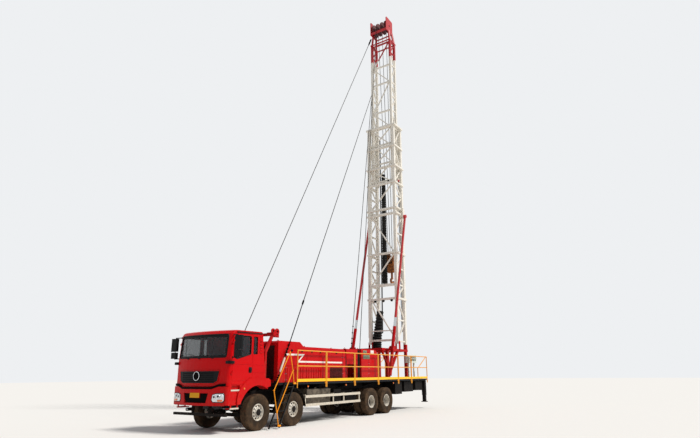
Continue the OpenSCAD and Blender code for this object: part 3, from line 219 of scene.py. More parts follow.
def mast_paint(name, top_colour=None, top_height=RED_PAINT_FOOT):
    """Chalky alkyd paint on rolled steel: matt cream with runs of rust, and another colour above a height."""
    paint = Finish(name)
    base = paint.mix(paint.noise(3.0, 5.0, 0.6), "#f4f1ea", "#d8d0c0")
    # Runs are long and narrow: about 30 mm across and half a metre down
    runs = paint.ramp(paint.noise(1.0, 6.0, 0.65, paint.moved(Scale=(30.0, 30.0, 1.6))), 0.56, 0.72)
    chips = paint.noise(9.0, 9.0, 0.75)
    rust = paint.maths("MULTIPLY", paint.maths("MAXIMUM", runs, paint.ramp(chips, 0.6, 0.66)), 0.5)
    colour = paint.mix(rust, base, "#6f4a30")
    if top_colour:
        colour = paint.mix(paint.maths("GREATER_THAN", paint.axes()[2], top_height), colour, top_colour)
    return paint.close(colour, paint.ramp(rust, 0.0, 1.0, 0.5, 0.9),
                       {"Normal": paint.bump(chips, 0.12, 0.004), "IOR": 1.5})


def railing_paint(name):
    """Brushed orange-yellow paint on tube; the kick plate above the deck's edge is a brighter yellow."""
    paint = Finish(name)
    height = paint.axes()[2]
    kick = paint.maths("MULTIPLY", paint.maths("GREATER_THAN", height, KICK_FOOT),
                     paint.maths("LESS_THAN", height, KICK_HEAD))
    wear = paint.noise(18.0, 8.0, 0.7)
    worn = paint.mix(paint.ramp(wear, 0.6, 0.68, 0.0, 0.7), paint.mix(kick, "#e59a26", "#ffc20a"), "#8a5a2a")
    return paint.close(worn, 0.42, {"Normal": paint.bump(wear, 0.15, 0.002), "IOR": 1.5})


def ladder_paint(name):
    """Black enamel on the ladder and orange-yellow enamel on the handrail that stands out from it."""
    paint = Finish(name)
    _, y, z = paint.axes()
    outside = paint.maths("LESS_THAN", y, paint.maths("MULTIPLY_ADD", z, LADDER_LEAN, LADDER_RAIL))
    return paint.close(paint.mix(outside, BLACK_ENAMEL, "#f0961a"), 0.45,
                       {"Specular IOR Level": 0.2, "Normal": paint.bump(paint.noise(18.0, 8.0, 0.7), 0.15, 0.002)})


def tyre_and_rim(name, axle, dish_radius):
    """Vulcanised rubber with dried mud round a painted pressed-steel rim."""
    skin = Finish(name)
    x, y, z = skin.axes(skin.moved(Location=(-(axle + FIRST_AXLE), 0.0, -HUB_HEIGHT)))
    flat = skin.step("ShaderNodeCombineXYZ", "Vector", {"X": x, "Z": z})
    radius = skin.step("ShaderNodeVectorMath", "Value", {0: flat}, operation="LENGTH")
    is_rim = skin.maths("LESS_THAN", radius, RIM_RADIUS)
    # Tread grooves: angle round the axle against distance across
    turned = skin.maths("MULTIPLY", skin.maths("ARCTAN2", z, x), TREAD_PITCHES / (2 * math.pi))
    skew = skin.maths("MULTIPLY", y, 9.0)
    pitch = skin.maths("ADD", turned, skin.maths("PINGPONG", skew, 0.5))
    lugs = skin.ramp(skin.maths("PINGPONG", pitch, 0.5), 0.1, 0.16)
    ribs = skin.ramp(skin.maths("PINGPONG", skew, 0.25), 0.03, 0.06)
    # Moulding rings on the side wall, 20 mm apart
    rings = skin.maths("PINGPONG", skin.maths("MULTIPLY", radius, 50.0), 0.5)
    relief = skin.between(skin.maths("GREATER_THAN", radius, TREAD_RADIUS), rings, skin.maths("MULTIPLY", lugs, ribs))
    # Mud clings to the tread and the shoulder and thins towards the rim
    mud = skin.noise(6.0, 8.0, 0.65)
    muddy = skin.maths("MULTIPLY", skin.ramp(mud, 0.38, 0.68, 0.25, 0.95), skin.ramp(radius, 0.3, 0.53, 0.45))
    rubber = skin.mix(muddy, "#1d1a17", "#5e4935")
    steel = skin.mix(skin.ramp(mud, 0.45, 0.7, 0.1, 0.75), "#e6e0d4", "#8a7a66")
    # Inside the dish radius the rim is near black: round the hub of a front wheel, and over the deep dish of a twin
    # wheel, where it is painted shade
    rim = skin.mix(skin.maths("LESS_THAN", radius, dish_radius), steel, "#1c1815")
    return skin.close(skin.mix(is_rim, rubber, rim), skin.between(is_rim, 0.88, 0.55),
                      {"Specular IOR Level": 0.12, "Normal": skin.bump(skin.between(is_rim, relief, mud), 0.6, 0.012)})


def plain_finish(name, colour, other, scale, roughness, metallic=0.0, bump_strength=0.1, bump_depth=0.002,
                 coat=0.0, sheen=0.5):
    """A finish whose colour wanders between two tones over a real distance."""
    skin = Finish(name)
    grain = skin.noise(scale, 5.0, 0.65)
    tone = skin.ramp(grain, 0.35, 0.65)
    return skin.close(skin.mix(tone, colour, other), skin.ramp(tone, 0.0, 1.0, roughness - 0.06, roughness + 0.1),
                      {"Metallic": metallic, "Coat Weight": coat, "Specular IOR Level": sheen,
                       "Normal": skin.bump(grain, bump_strength, bump_depth)})


def ram_paint(name):
    """Red enamel on the ram's outer tube; below its foot the rod is bright hard chrome."""
    paint = Finish(name)
    bright = paint.maths("LESS_THAN", paint.axes()[2], RAM_TUBE_FOOT)
    red = paint.mix(paint.noise(4.0, 5.0), "#c4161c", "#96141a")
    return paint.close(paint.mix(bright, red, "#c9cccd"), paint.between(bright, 0.4, 0.15), {"Metallic": bright})


def window_glass(name):
    """Tinted toughened glass: dark and grey-green, with a sharp reflection."""
    pane = Finish(name)
    return pane.close(linear("#1c2c30"), pane.ramp(pane.noise(5.0, 6.0), 0.4, 0.8, 0.02, 0.12),
                      {"IOR": 1.5, "Alpha": 0.4})


def wire_rope(name, colour="#161514", other="#35312c"):
    """Greased steel rope of six strands laid in a spiral, drawn at twice its real lay so that it shows."""
    steel = Finish(name)
    strands = steel.bands(28.0, 0.4)
    return steel.close(steel.mix(strands, colour, other), 0.5,
                       {"Metallic": 0.5, "Normal": steel.bump(strands, 0.7, 0.004)})


def tread_plate(name):
    """Tread plate in red deck paint, worn on its bars, with a black edge; bars are drawn 40 mm apart."""
    plate = Finish(name)
    cross = plate.step("ShaderNodeTexChecker", "Fac", {"Vector": plate.place, "Scale": 25.0})
    relief = plate.maths("MULTIPLY", plate.bands(8.0, 0.0), cross)
    worn = plate.mix(plate.noise(3.0, 8.0, 0.7), "#74191b", "#4a3a32")
    at_edge = plate.maths("GREATER_THAN", plate.maths("ABSOLUTE", plate.axes()[1]), DECK_SIDE - DECK_EDGE)
    return plate.close(plate.mix(at_edge, worn, "#16181c"), 0.62,
                       {"Specular IOR Level": 0.15, "Normal": plate.bump(relief, 0.5, 0.004)})


BLACK_ENAMEL = "#121110"
CAB_ENAMEL = {"colour": "#d0040c", "faded": "#b8030a", "grime": 0.2}
BLANK_PLATE = (0.218, 1.052, 1.198, "#d99a12")

cab_red = dusty_paint("cab_red_enamel", **CAB_ENAMEL)
bumper_red = dusty_paint("bumper_red_enamel_and_blank_plate", plate=BLANK_PLATE, **CAB_ENAMEL)
guard_red = dusty_paint("fender_red_and_mudguard_black_enamel", black_past=0.8, **CAB_ENAMEL)
housing_red = dusty_paint("housing_red_enamel", "#cc0a10", "#b0080e", roughness=0.38, low=1.4, high=2.2, grime=0.25)
frame_red = dusty_paint("frame_red_enamel", "#c20810", "#9c080e", roughness=0.45, low=1.4, high=3.0, grime=0.4)
chassis_black = dusty_paint("chassis_black_paint", "#100f0f", "#1a1716", dust="#4c3f30", roughness=0.6, coat=0.0,
                            low=0.2, high=1.6)
# Cream paint of the side guards and the turnbuckle, also used as a painted highlight on the step edges
cream_paint_and_highlight = dusty_paint("cream_paint_and_step_highlight", "#ddd6c8", "#c9c0ae", roughness=0.5, coat=0.0, grime=0.5)
mast_cream = mast_paint("mast_cream_paint")
mast_top = mast_paint("mast_cream_and_red_paint", "#a8141b")
crown_red = mast_paint("crown_red_paint", "#b01820", top_height=0.0)
rail_yellow = railing_paint("railing_yellow_paint")
block_orange = plain_finish("block_orange_paint", "#b4671c", "#5b3a22", 6.0, 0.6, bump_strength=0.2)
drum_primer = plain_finish("drum_primer", "#6e1518", "#4a1b1b", 5.0, 0.65)
ground_steel = plain_finish("galvanised_sheet", "#a9adad", "#8b9092", 9.0, 0.45, metallic=0.6)
engine_grey = plain_finish("engine_cast_iron", "#4c4f50", "#35322f", 8.0, 0.7, metallic=0.3, bump_strength=0.3)
tank_metal = plain_finish("tank_dusty_steel", "#7d7263", "#3f3932", 4.0, 0.5, metallic=0.2, sheen=0.2)
black_plastic = plain_finish("moulded_black_plastic", "#0b0b0d", "#141416", 60.0, 0.5, bump_strength=0.25,
                             bump_depth=0.001, sheen=0.15)
cab_trim = plain_finish("cab_trim_plastic", "#4a4b4d", "#3a3a3b", 40.0, 0.7, bump_strength=0.3, bump_depth=0.001)
hose_rubber = plain_finish("hose_rubber", "#0c0c0c", "#1a1817", 10.0, 0.6, bump_strength=0.2, sheen=0.2)
chrome = plain_finish("hard_chrome", "#d5d8da", "#b9bcbe", 30.0, 0.16, metallic=1.0, bump_strength=0.02)
lamp_bowl = plain_finish("lamp_reflector", "#e6e9ea", "#c4c8ca", 25.0, 0.2, metallic=0.8)
white_tape = plain_finish("white_marking_tape", "#f2f0ec", "#dcd6ca", 7.0, 0.45, bump_strength=0.03)
amber = plain_finish("amber_lens", "#f07a12", "#d8620a", 40.0, 0.2, coat=1.0)
lamp_red = plain_finish("red_lens", "#c01018", "#a00c12", 40.0, 0.2, coat=1.0)
# Near black for black parts, and for painted shade in holes, recesses and gaps
black_and_shade = plain_finish("black_and_painted_shade", "#060505", "#0e0c0b", 6.0, 0.85, sheen=0.05)
vent_green = plain_finish("vent_mesh_grey_green", "#8d9a80", "#6c7763", 20.0, 0.55, bump_strength=0.3)
console_white = plain_finish("console_pale_green_enamel", "#dfe6dc", "#c3ccc0", 6.0, 0.45, sheen=0.3)
grille_red = plain_finish("perforated_brown_red", "#6a1a14", "#4a1410", 16.0, 0.6, sheen=0.2)
shade_brown = plain_finish("painted_shade_dark_brown", "#3a0a06", "#220605", 14.0, 0.6, sheen=0.15)
rope = wire_rope("guy_wire_rope")
greased_rope = wire_rope("drilling_line_rope", "#221e1a", "#474037")
deck_plate = tread_plate("deck_tread_plate")
glass = window_glass("tinted_cab_glass")
ram_finish = ram_paint("ram_red_and_chrome")

# Which solids of the frame get each finish; "#" stands for left and for right
finishes = {
    chassis_black: "chassis_frame front_axles rear_axles jack_# knuckle_1_# knuckle_2_#", deck_plate: "deck",
    cab_red: "cab_shell door_#", glass: "cab_glass door_glass_#", cab_trim: "cab_interior", bumper_red: "front_bumper",
    black_plastic: "grille mirrors", guard_red: "fenders", frame_red: "mast_rest mast_support ram_barrel_#",
    housing_red: "engine_housing gearbox_housing drawworks_housing", engine_grey: "engine_block",
    drum_primer: "drawworks_stand crown_sheaves", rail_yellow: "railing_#", cream_paint_and_highlight: "side_guards",
    tank_metal: "tanks", console_white: "control_console", mast_cream: "lower_side_# lower_front mast_ladder",
    mast_top: "upper_side_# upper_front", crown_red: "crown_frame", block_orange: "travelling_block",
    ram_finish: "ram_rod_#", greased_rope: "drum drill_lines", rope: "stay_lines",
    ladder_paint("ladder_black_and_yellow_paint"): "deck_ladder",
}
for axle, x in enumerate(AXLES, 1):
    wheel_finish = tyre_and_rim(f"tyre_and_rim_axle_{axle}", x, HUB_RADIUS if axle < 3 else TWIN_DISH_RADIUS)
    finishes[wheel_finish] = f"wheel_{axle}_#"
for material, nodes in finishes.items():
    for name in dict.fromkeys(node.replace("#", side) for node in nodes.split() for _, side in SIDES):
        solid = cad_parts[name]
        solid.data.materials.clear()
        solid.data.materials.append(material)


# Making pieces


class Piece:
    """A mesh that is put together from shapes and then given to a body."""

    def __init__(self, name, frame_of=TRUCK):
        self.name = name
        self.frame_of = frame_of
        self.bm = bmesh.new()

    def bevel(self, edges, offset):
        """Edges broken by a small round."""
        bmesh.ops.bevel(self.bm, geom=list(dict.fromkeys(edges)), offset=offset, segments=2, affect="EDGES",
                        profile=0.5)

    def block(self, low, high, bevel=0.004):
        """A box between two corners with its edges broken."""
        size = [b - a for a, b in zip(low, high)]
        middle = [(a + b) / 2 for a, b in zip(low, high)]
        made = bmesh.ops.create_cube(self.bm, size=1.0,
                                     matrix=Matrix.Translation(middle) @ Matrix.Diagonal(size + [1]))
        self.bevel([e for v in made["verts"] for e in v.link_edges], min(bevel, min(size) / 3))
        return self

    def prism(self, outline, plane, start, end, bevel=0.003):
        """An outline in a plane, drawn out from start to end along the axis across it."""
        order = {"xz": lambda a, b, c: (a, c, b), "yz": lambda a, b, c: (c, a, b)}[plane]
        near = [self.bm.verts.new(order(a, b, start)) for a, b in outline]
        far = [self.bm.verts.new(order(a, b, end)) for a, b in outline]
        ends = [self.bm.faces.new(near), self.bm.faces.new(far[::-1])]
        for i in range(len(outline)):
            self.bm.faces.new((near[i - 1], far[i - 1], far[i], near[i]))
        if bevel:
            self.bevel([e for f in ends for e in f.edges], bevel)
        return self

    def skin(self, rings):
        """Faces between one ring and the next, closed at both ends."""
        for first, second in zip(rings, rings[1:]):
            for k in range(len(first)):
                self.bm.faces.new((first[k - 1], first[k], second[k], second[k - 1]))
        self.bm.faces.new(rings[0][::-1])
        self.bm.faces.new(rings[-1])
        return self

    def ring(self, middle, side, up, radius, sides):
        """The corners of one ring."""
        return [self.bm.verts.new(middle + (side * math.cos(t) + up * math.sin(t)) * radius) for t in angles(sides)]

    def sweep(self, points, radii, sides=12):
        """A round skin along points, with one radius or one for each point."""
        points = [Vector(p) for p in points]
        if not hasattr(radii, "__len__"):
            radii = [radii] * len(points)
        rings = []
        side = None
        for i, point in enumerate(points):
            run = (points[min(i + 1, len(points) - 1)] - points[max(i - 1, 0)]).normalized()
            if side is None:
                side = run.orthogonal().normalized()
            side = (side - run * side.dot(run)).normalized()
            rings.append(self.ring(point, side, run.cross(side), radii[i], sides))
        return self.skin(rings)

    def turned(self, profile, middle, axis="y", sides=32):
        """A profile of (distance along, radius) turned about an axis through middle."""
        along = {"x": Vector((1, 0, 0)), "y": Vector((0, 1, 0)), "z": Vector((0, 0, 1))}[axis]
        side = along.orthogonal().normalized()
        up = along.cross(side)
        return self.skin([self.ring(Vector(middle) + along * a, side, up, max(radius, THINNEST), sides)
                          for a, radius in profile])

    def onto_front(self, face):
        """Shapes drawn against a flat front, with x behind it, are bent onto the bowed and raked one."""
        for step in range(-12, 13):
            bmesh.ops.bisect_plane(self.bm, geom=self.bm.verts[:] + self.bm.edges[:] + self.bm.faces[:],
                                   plane_co=(0, step * 0.1, 0), plane_no=(0, 1, 0))
        for v in self.bm.verts:
            raised = min(max(v.co.z, RAKE_FOOT), RAKE_HEAD) - RAKE_FOOT
            v.co.x += face + FRONT_BOW * (v.co.y / CAB_SIDE) ** 2 + FRONT_RAKE * raised
        return self

    def mirrored(self):
        """The same shapes on the other side of the centre plane as well."""
        copy = bmesh.ops.duplicate(self.bm, geom=self.bm.verts[:] + self.bm.edges[:] + self.bm.faces[:])
        for v in copy["geom"]:
            if isinstance(v, bmesh.types.BMVert):
                v.co.y = -v.co.y
        return self

    def give(self, material, slot, body="carrier", smooth=35):
        """The finished object, riding on a body."""
        bmesh.ops.recalc_face_normals(self.bm, faces=self.bm.faces[:])
        mesh = bpy.data.meshes.new(self.name)
        self.bm.to_mesh(mesh)
        self.bm.free()
        mesh.transform(self.frame_of)
        mesh.materials.append(material)
        return settle(self.name, mesh, body, smooth)


def settle(name, mesh, body, smooth=35):
    """A mesh in the row frame becomes an object that rides on a body, or on none yet."""
    for polygon in mesh.polygons:
        polygon.use_smooth = True
    mesh.set_sharp_from_angle(angle=math.radians(smooth))
    piece = bpy.data.objects.new(name, mesh)
    bpy.context.scene.collection.objects.link(piece)
    if body:
        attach(piece, body)
    return piece


def repeat(name, places, turns, sizes, item, material, body="carrier"):
    """One item on each of many places, grown by a Geometry Nodes tree with named sizes."""
    mesh = bpy.data.meshes.new(name + "_places")
    mesh.from_pydata([tuple(p) for p in places], [], [])
    turn = mesh.attributes.new("turn", "FLOAT_VECTOR", "POINT")
    turn.data.foreach_set("vector", [value for t in turns or [TO_SIDE] * len(places) for value in t])
    holder = bpy.data.objects.new(name + "_holder", mesh)
    bpy.context.scene.collection.objects.link(holder)
    tree = bpy.data.node_groups.new(name + "_tree", "GeometryNodeTree")
    tree.interface.new_socket(name="Geometry", in_out="INPUT", socket_type="NodeSocketGeometry")
    sockets = {size: tree.interface.new_socket(name=size, in_out="INPUT", socket_type="NodeSocketFloat").identifier
               for size in sizes}
    tree.interface.new_socket(name="Geometry", in_out="OUTPUT", socket_type="NodeSocketGeometry")
    given = add(tree, "NodeGroupInput")
    shape = item(tree, given)
    named = add(tree, "GeometryNodeInputNamedAttribute", {"Name": "turn"}, data_type="FLOAT_VECTOR")
    rotation = add(tree, "FunctionNodeEulerToRotation", {"Euler": named.outputs["Attribute"]})
    placed = add(tree, "GeometryNodeInstanceOnPoints",
                 {"Points": given.outputs["Geometry"], "Instance": shape, "Rotation": rotation.outputs["Rotation"]})
    real = add(tree, "GeometryNodeRealizeInstances", {"Geometry": placed.outputs["Instances"]})
    painted = add(tree, "GeometryNodeSetMaterial", {"Geometry": real.outputs["Geometry"], "Material": material})
    add(tree, "NodeGroupOutput", {"Geometry": painted.outputs["Geometry"]})
    modifier = holder.modifiers.new("grow", "NODES")
    modifier.node_group = tree
    for size, value in sizes.items():
        modifier[sockets[size]] = value
    bpy.context.view_layer.update()
    grown = bpy.data.meshes.new_from_object(holder.evaluated_get(bpy.context.evaluated_depsgraph_get()))
    bpy.data.objects.remove(holder)
    grown.transform(TRUCK)
    return settle(name, grown, body)


def bar(corners):
    """What makes a bar with so many corners that stands along Z."""
    return lambda tree, given: add(tree, "GeometryNodeMeshCylinder",
                                   {"Vertices": corners, "Radius": given.outputs["Radius"],
                                    "Depth": given.outputs["Depth"]}).outputs["Mesh"]


def slat(tree, given):
    """A flat strip: Length along X, Width along Y, Depth along Z."""
    size = add(tree, "ShaderNodeCombineXYZ", {"X": given.outputs["Length"], "Y": given.outputs["Width"],
                                                  "Z": given.outputs["Depth"]})
    return add(tree, "GeometryNodeMeshCube", {"Size": size.outputs["Vector"]}).outputs["Mesh"]


def rounded(low, high, radius):
    """The outline of a rectangle with round corners, each of six points."""
    (a0, b0), (a1, b1) = low, high
    outline = []
    for ca, cb, start in ((a1 - radius, b1 - radius, 0), (a0 + radius, b1 - radius, 90),
                          (a0 + radius, b0 + radius, 180), (a1 - radius, b0 + radius, 270)):
        for i in range(6):
            turn = math.radians(start + 18 * i)
            outline.append((ca + radius * math.cos(turn), cb + radius * math.sin(turn)))
    return outline


TO_SIDE = (math.pi / 2, 0.0, 0.0)
hex_head = bar(6)
round_head = bar(16)

# Cab front

edge = [(0.0, y, z) for y, z in rounded((-1.09, 2.262), (1.09, 2.975), 0.07)]
seal = Piece("windscreen_seal").sweep(edge + edge[:1], 0.017, 10)
seal.onto_front(CAB_FACE).give(black_plastic, "mirror_black")

# Black enamel that is fired onto the edges of the glass
frit = Piece("windscreen_frit")
for low, high in (((-1.08, 2.27), (1.08, 2.32)), ((-1.08, 2.885), (1.08, 2.968)), ((-1.08, 2.3), (-1.035, 2.9)),
                  ((1.035, 2.3), (1.08, 2.9))):
    frit.block((0.007, *low), (0.011, *high), 0.001)
frit.onto_front(CAB_FACE).give(black_plastic, "mirror_black")

wipers = Piece("wipers")
for foot, tip in ((-0.62, -0.08), (0.5, 1.0), (-0.06, 0.46)):
    a, b = Vector((-0.03, foot, 2.235)), Vector((-0.03, tip, 2.36))
    wipers.sweep([a, a.lerp(b, 0.5) + Vector((-0.008, 0, 0)), b], [0.009, 0.007, 0.005], 8)
    wipers.sweep([b - Vector((0, 0.24, 0.02)), b + Vector((0, 0.1, 0.03))], 0.007, 6)
    wipers.turned([(-0.01, 0.016), (0.01, 0.016), (0.028, 0.014)], a, "x", 14)
wipers.onto_front(CAB_FACE).give(black_plastic, "mirror_black")

# Raised edge round the front grille, and a rod in each of its slots
edge = [(-0.02, y, z) for y, z in ((-0.71, 1.477), (0.71, 1.477), (0.855, 1.55), (0.912, 1.86), (-0.912, 1.86),
                                   (-0.855, 1.55))]
surround = Piece("grille_surround").sweep(edge + edge[:1], 0.011, 10)
surround.onto_front(CAB_FACE).give(cab_red, "red_paint")
grille_rods = Piece("grille_rods")
for k in range(5):
    grille_rods.sweep([(-0.018, y, 1.541 + k * 0.062) for y in (-0.715, 0.715)], 0.006, 8)
grille_rods.onto_front(CAB_FACE).give(black_and_shade, "black_paint")

BADGE_HEIGHT = 1.7
badge = Piece("blank_badge")
badge.turned([(0.0, 0.15), (-0.012, 0.15), (-0.02, 0.14), (-0.022, 0.0)], (-0.024, 0, BADGE_HEIGHT), "x", 40)
badge.onto_front(CAB_FACE).give(black_and_shade, "mirror_black")
loop = [(-0.038, 0.132 * math.cos(t), BADGE_HEIGHT + 0.132 * math.sin(t)) for t in angles(40) + [2 * math.pi]]
Piece("blank_badge_ring").sweep(loop, 0.012, 10).onto_front(CAB_FACE).give(chrome, "bare_steel")

# Dark strip in the gap between the cab and the bumper, painted shade: level at the middle and rising to the corners
line = [(-1.14, 1.442), (-0.93, 1.428), (-0.68, 1.345), (0.68, 1.345), (0.93, 1.428), (1.14, 1.442)]
band = [(y, z - 0.04) for y, z in line] + [(y, z + 0.03) for y, z in line[::-1]]
gap_shade = Piece("front_gap_shade_strip").prism(band, "yz", -0.0015, 0.052, 0.004)
gap_shade.onto_front(BUMPER_FACE).give(black_and_shade, "mirror_black")

# Head lamps: rim, bowl with its reflectors and their shades, and the amber corner
LAMP_Y, LAMP_Z = 0.94, 1.06
lamp_outline = ((0.7, 0.99), (0.745, 0.92), (1.11, 0.915), (1.165, 0.97), (1.165, 1.14), (1.13, 1.192), (0.86, 1.19),
                (0.725, 1.15))
for sign, side in SIDES:
    rim = Piece(f"head_lamp_rim_{side}").prism([(sign * y, z) for y, z in lamp_outline], "yz", -0.01, 0.02, 0.004)
    rim.onto_front(BUMPER_FACE).give(black_plastic, "mirror_black")
    inner = [(sign * (LAMP_Y + (y - LAMP_Y) * 0.9), LAMP_Z + (z - LAMP_Z) * 0.86) for y, z in lamp_outline]
    bowl = Piece(f"head_lamp_bowl_{side}").prism(inner, "yz", -0.014, 0.0, 0.004)
    for y, z, radius in ((0.82, 1.08, 0.062), (0.96, 1.1, 0.062), (1.08, 1.08, 0.05)):
        bowl.turned([(-0.004, radius), (-0.018, radius * 0.96), (-0.022, radius * 0.6), (-0.016, 0.001)],
                    (-0.012, sign * y, z), "x", 24)
    bowl.onto_front(BUMPER_FACE).give(lamp_bowl, "bare_steel")
    shades = Piece(f"head_lamp_shades_{side}")
    for y, z, radius in ((0.82, 1.08, 0.034), (0.96, 1.1, 0.036)):
        shades.turned([(-0.002, radius), (-0.006, radius * 0.9), (-0.008, 0.001)], (-0.03, sign * y, z), "x", 20)
    shades.onto_front(BUMPER_FACE).give(black_plastic, "mirror_black")
    corner = [(sign * y, z) for y, z in rounded((0.93, 0.945), (1.11, 1.005), 0.028)]
    turn_lamp = Piece(f"turn_lamp_{side}").prism(corner, "yz", -0.03, -0.008, 0.004)
    turn_lamp.onto_front(BUMPER_FACE).give(amber, "yellow_paint")

# Black sheet at the back of the bumper's pocket: painted shade in the recess
pocket_shade = Piece("bumper_pocket_shade")
pocket_shade.prism([(-0.545, 1.18), (-0.47, 0.905), (0.47, 0.905), (0.545, 1.18)], "yz", 0.03, 0.043)
pocket_shade.onto_front(BUMPER_FACE).give(black_and_shade, "mirror_black")

# Pale strips on the edges of the two steps: painted highlight where light catches the treads
step_edge_highlights = Piece("step_edge_highlights")
for z in (1.243, 0.708):
    step_edge_highlights.block((-1.262, 1.2, z), (-0.898, 1.236, z + 0.046), 0.005)
step_edge_highlights.mirrored().give(cream_paint_and_highlight, "cream_paint")

# Lower arm of each mirror, on the pillar's foot
mirror_feet = Piece("mirror_feet").block((-1.47, 1.13, 2.06), (-1.19, 1.268, 2.15), 0.02)
mirror_feet.mirrored().give(black_plastic, "mirror_black")

# Cab sides

edge = [(x, CAB_SIDE - 0.004, z) for x, z in ((-0.325, 2.385), (-0.145, 2.385), (-0.155, 2.935), (-0.325, 2.935))]
window_seals = Piece("quarter_window_seals").sweep(edge + edge[:1], 0.013, 8)
window_seals.mirrored().give(black_plastic, "mirror_black")

DOOR_FRONT = -1.235
door_pane = [(-1.205, 2.27), (-1.06, 2.22), (-0.47, 2.37), (-0.45, 2.4), (-0.45, 2.9), (-0.49, 2.94), (-1.16, 2.94),
             (-1.205, 2.88)]
for sign, side in SIDES:
    edge = [(x, sign * (CAB_SIDE - 0.004), z) for x, z in door_pane]
    door_seal = Piece(f"door_window_seal_{side}").sweep(edge + edge[:1], 0.017, 8)
    door_seal.sweep([(-1.06, sign * (CAB_SIDE - 0.006), z) for z in (2.23, 2.93)], 0.012, 8)
    door_seal.give(black_plastic, "mirror_black", "door_" + side)
    handle = Piece(f"door_handle_{side}")
    handle.prism(rounded((-0.525, 1.79), (-0.385, 1.965), 0.03), "xz", sign * (CAB_SIDE - 0.004),
                 sign * (CAB_SIDE + 0.008))
    low, high = sorted((sign * (CAB_SIDE + 0.002), sign * (CAB_SIDE + 0.036)))
    handle.block((-0.506, low, 1.844), (-0.404, high, 1.916), 0.008)
    handle.give(black_plastic, "mirror_black", "door_" + side)
    creases = Piece(f"door_creases_{side}")
    for z, end in ((2.055, -0.385), (1.56, -0.6)):
        creases.sweep([(DOOR_FRONT, sign * CAB_SIDE, z), ((DOOR_FRONT + end) / 2, sign * (CAB_SIDE + 0.001), z),
                       (end, sign * CAB_SIDE, z)], [0.005, 0.01, 0.005], 8)
    creases.give(cab_red, "red_paint", "door_" + side)

drip_rail = Piece("drip_rail").block((-1.125, CAB_SIDE + 0.004, 3.031), (0.065, CAB_SIDE + 0.022, 3.067), 0.005)
drip_rail.mirrored().give(black_plastic, "mirror_black")

# Air outlet on the cab's rear corner: ribs that grow shorter upwards, with dark slots between them that are painted
# shade
corner_ribs = Piece("cab_corner_ribs")
corner_slot_shades = Piece("cab_corner_slot_shades")
for k in range(5):
    z = 2.43 + k * 0.1
    corner_ribs.sweep([(-0.05, CAB_SIDE - 0.002, z), (0.02, CAB_SIDE + 0.001, z),
                       (0.1 - k * 0.017, CAB_SIDE - 0.006, z)], [0.01, 0.02, 0.01], 8)
for k in range(4):
    corner_slot_shades.block((-0.04, CAB_SIDE - 0.006, 2.467 + k * 0.1),
                       (0.085 - k * 0.017, CAB_SIDE + 0.002, 2.487 + k * 0.1), 0.001)
corner_ribs.mirrored().give(cab_red, "red_paint")
corner_slot_shades.mirrored().give(shade_brown, "dark_red_paint")

cab_creases = Piece("cab_side_creases")
cab_creases.sweep([(-0.33, CAB_SIDE, 2.05), (0.1, CAB_SIDE, 2.04), (0.2, CAB_SIDE, 2.0)], [0.006, 0.01, 0.005], 8)
cab_creases.sweep([(-0.33, CAB_SIDE, 1.8), (0.22, CAB_SIDE, 1.79)], [0.008, 0.006], 8)
cab_creases.mirrored().give(cab_red, "red_paint")

markers = Piece("side_markers")
lens = ((-0.012, 0.034), (0.0, 0.034), (0.012, 0.028), (0.018, 0.0))
for x, y, z in ((-0.72, 1.264, 1.31), (2.6, 1.244, 1.3), (5.14, 1.244, 1.3), (9.2, 1.244, 1.3)):
    for sign, _ in SIDES:
        markers.turned([(sign * out, radius) for out, radius in lens], (x, sign * y, z), "y", 20)
markers.give(amber, "yellow_paint")

# Housings


def both_sides(places, y):
    """Places given as (x, z), so far out on the left and on the right."""
    return [(x, sign * y, z) for x, z in places for sign, _ in SIDES]


stripe = Piece("housing_stripe")
stripe.prism([(1.45, 2.385), (2.35, 2.385), (2.06, 2.145), (5.02, 2.145), (5.02, 2.205), (2.22, 2.205), (2.51, 2.45),
              (1.45, 2.45)], "xz", HOUSING_SIDE + 0.0005, HOUSING_SIDE + 0.003, 0.0)
stripe.mirrored().give(white_tape, "cream_paint")

latches = both_sides([(x, 2.56) for x in (1.75, 2.35, 2.95, 3.5, 4.6)], HOUSING_SIDE + 0.012)
repeat("housing_latches", latches, None, {"Radius": 0.042, "Depth": 0.026}, round_head, black_plastic)

# Dark brown screen with bars over the engine housing's front face: painted shade, as the face stands in shadow
front_shade = Piece("housing_front_shade").block((0.986, -0.96, 1.56), (0.999, 0.96, 2.72))
front_shade.give(shade_brown, "dark_red_paint")
bars = Piece("housing_front_shade_bars")
for k in range(15):
    bars.sweep([(0.982, y, 1.62 + k * 0.075) for y in (-0.94, 0.94)], 0.006, 6)
bars.give(shade_brown, "dark_red_paint")

# Black sheet with three ribs in the gap between the housings, a dark fill that is painted shade where the gap lies in
# shadow, and three black hoses further forward
gap_shades_and_hoses = Piece("housing_gap_shades_and_hoses").block((6.345, 1.035, DECK + 0.01), (6.525, 1.05, 2.7))
for k in range(3):
    gap_shades_and_hoses.sweep([(6.38 + k * 0.055, 1.052, z) for z in (DECK + 0.02, 2.69)], 0.014, 8)
for x, bow in ((5.33, 0.02), (5.39, -0.015), (5.43, 0.01)):
    gap_shades_and_hoses.sweep([(x, 1.0, DECK + 0.01), (x + bow, 1.05, 1.8), (x - bow, 1.06, 2.2), (x, 1.0, 2.6)], 0.024, 10)
gap_shades_and_hoses.mirrored().give(hose_rubber, "mirror_black")

cheeks = Piece("mast_rest_cheeks")
for x, z, radius in ((0.93, 3.21, 0.1), (1.14, 3.2, 0.12)):
    cheeks.turned([(-0.02, radius - 0.008), (-0.014, radius), (0.014, radius), (0.02, radius - 0.008)],
                  (x, 0.925, z), "y", 28)
cheeks.block((0.86, 0.905, 3.0), (1.24, 0.945, 3.12), 0.008)
cheeks.mirrored().give(frame_red, "red_paint")
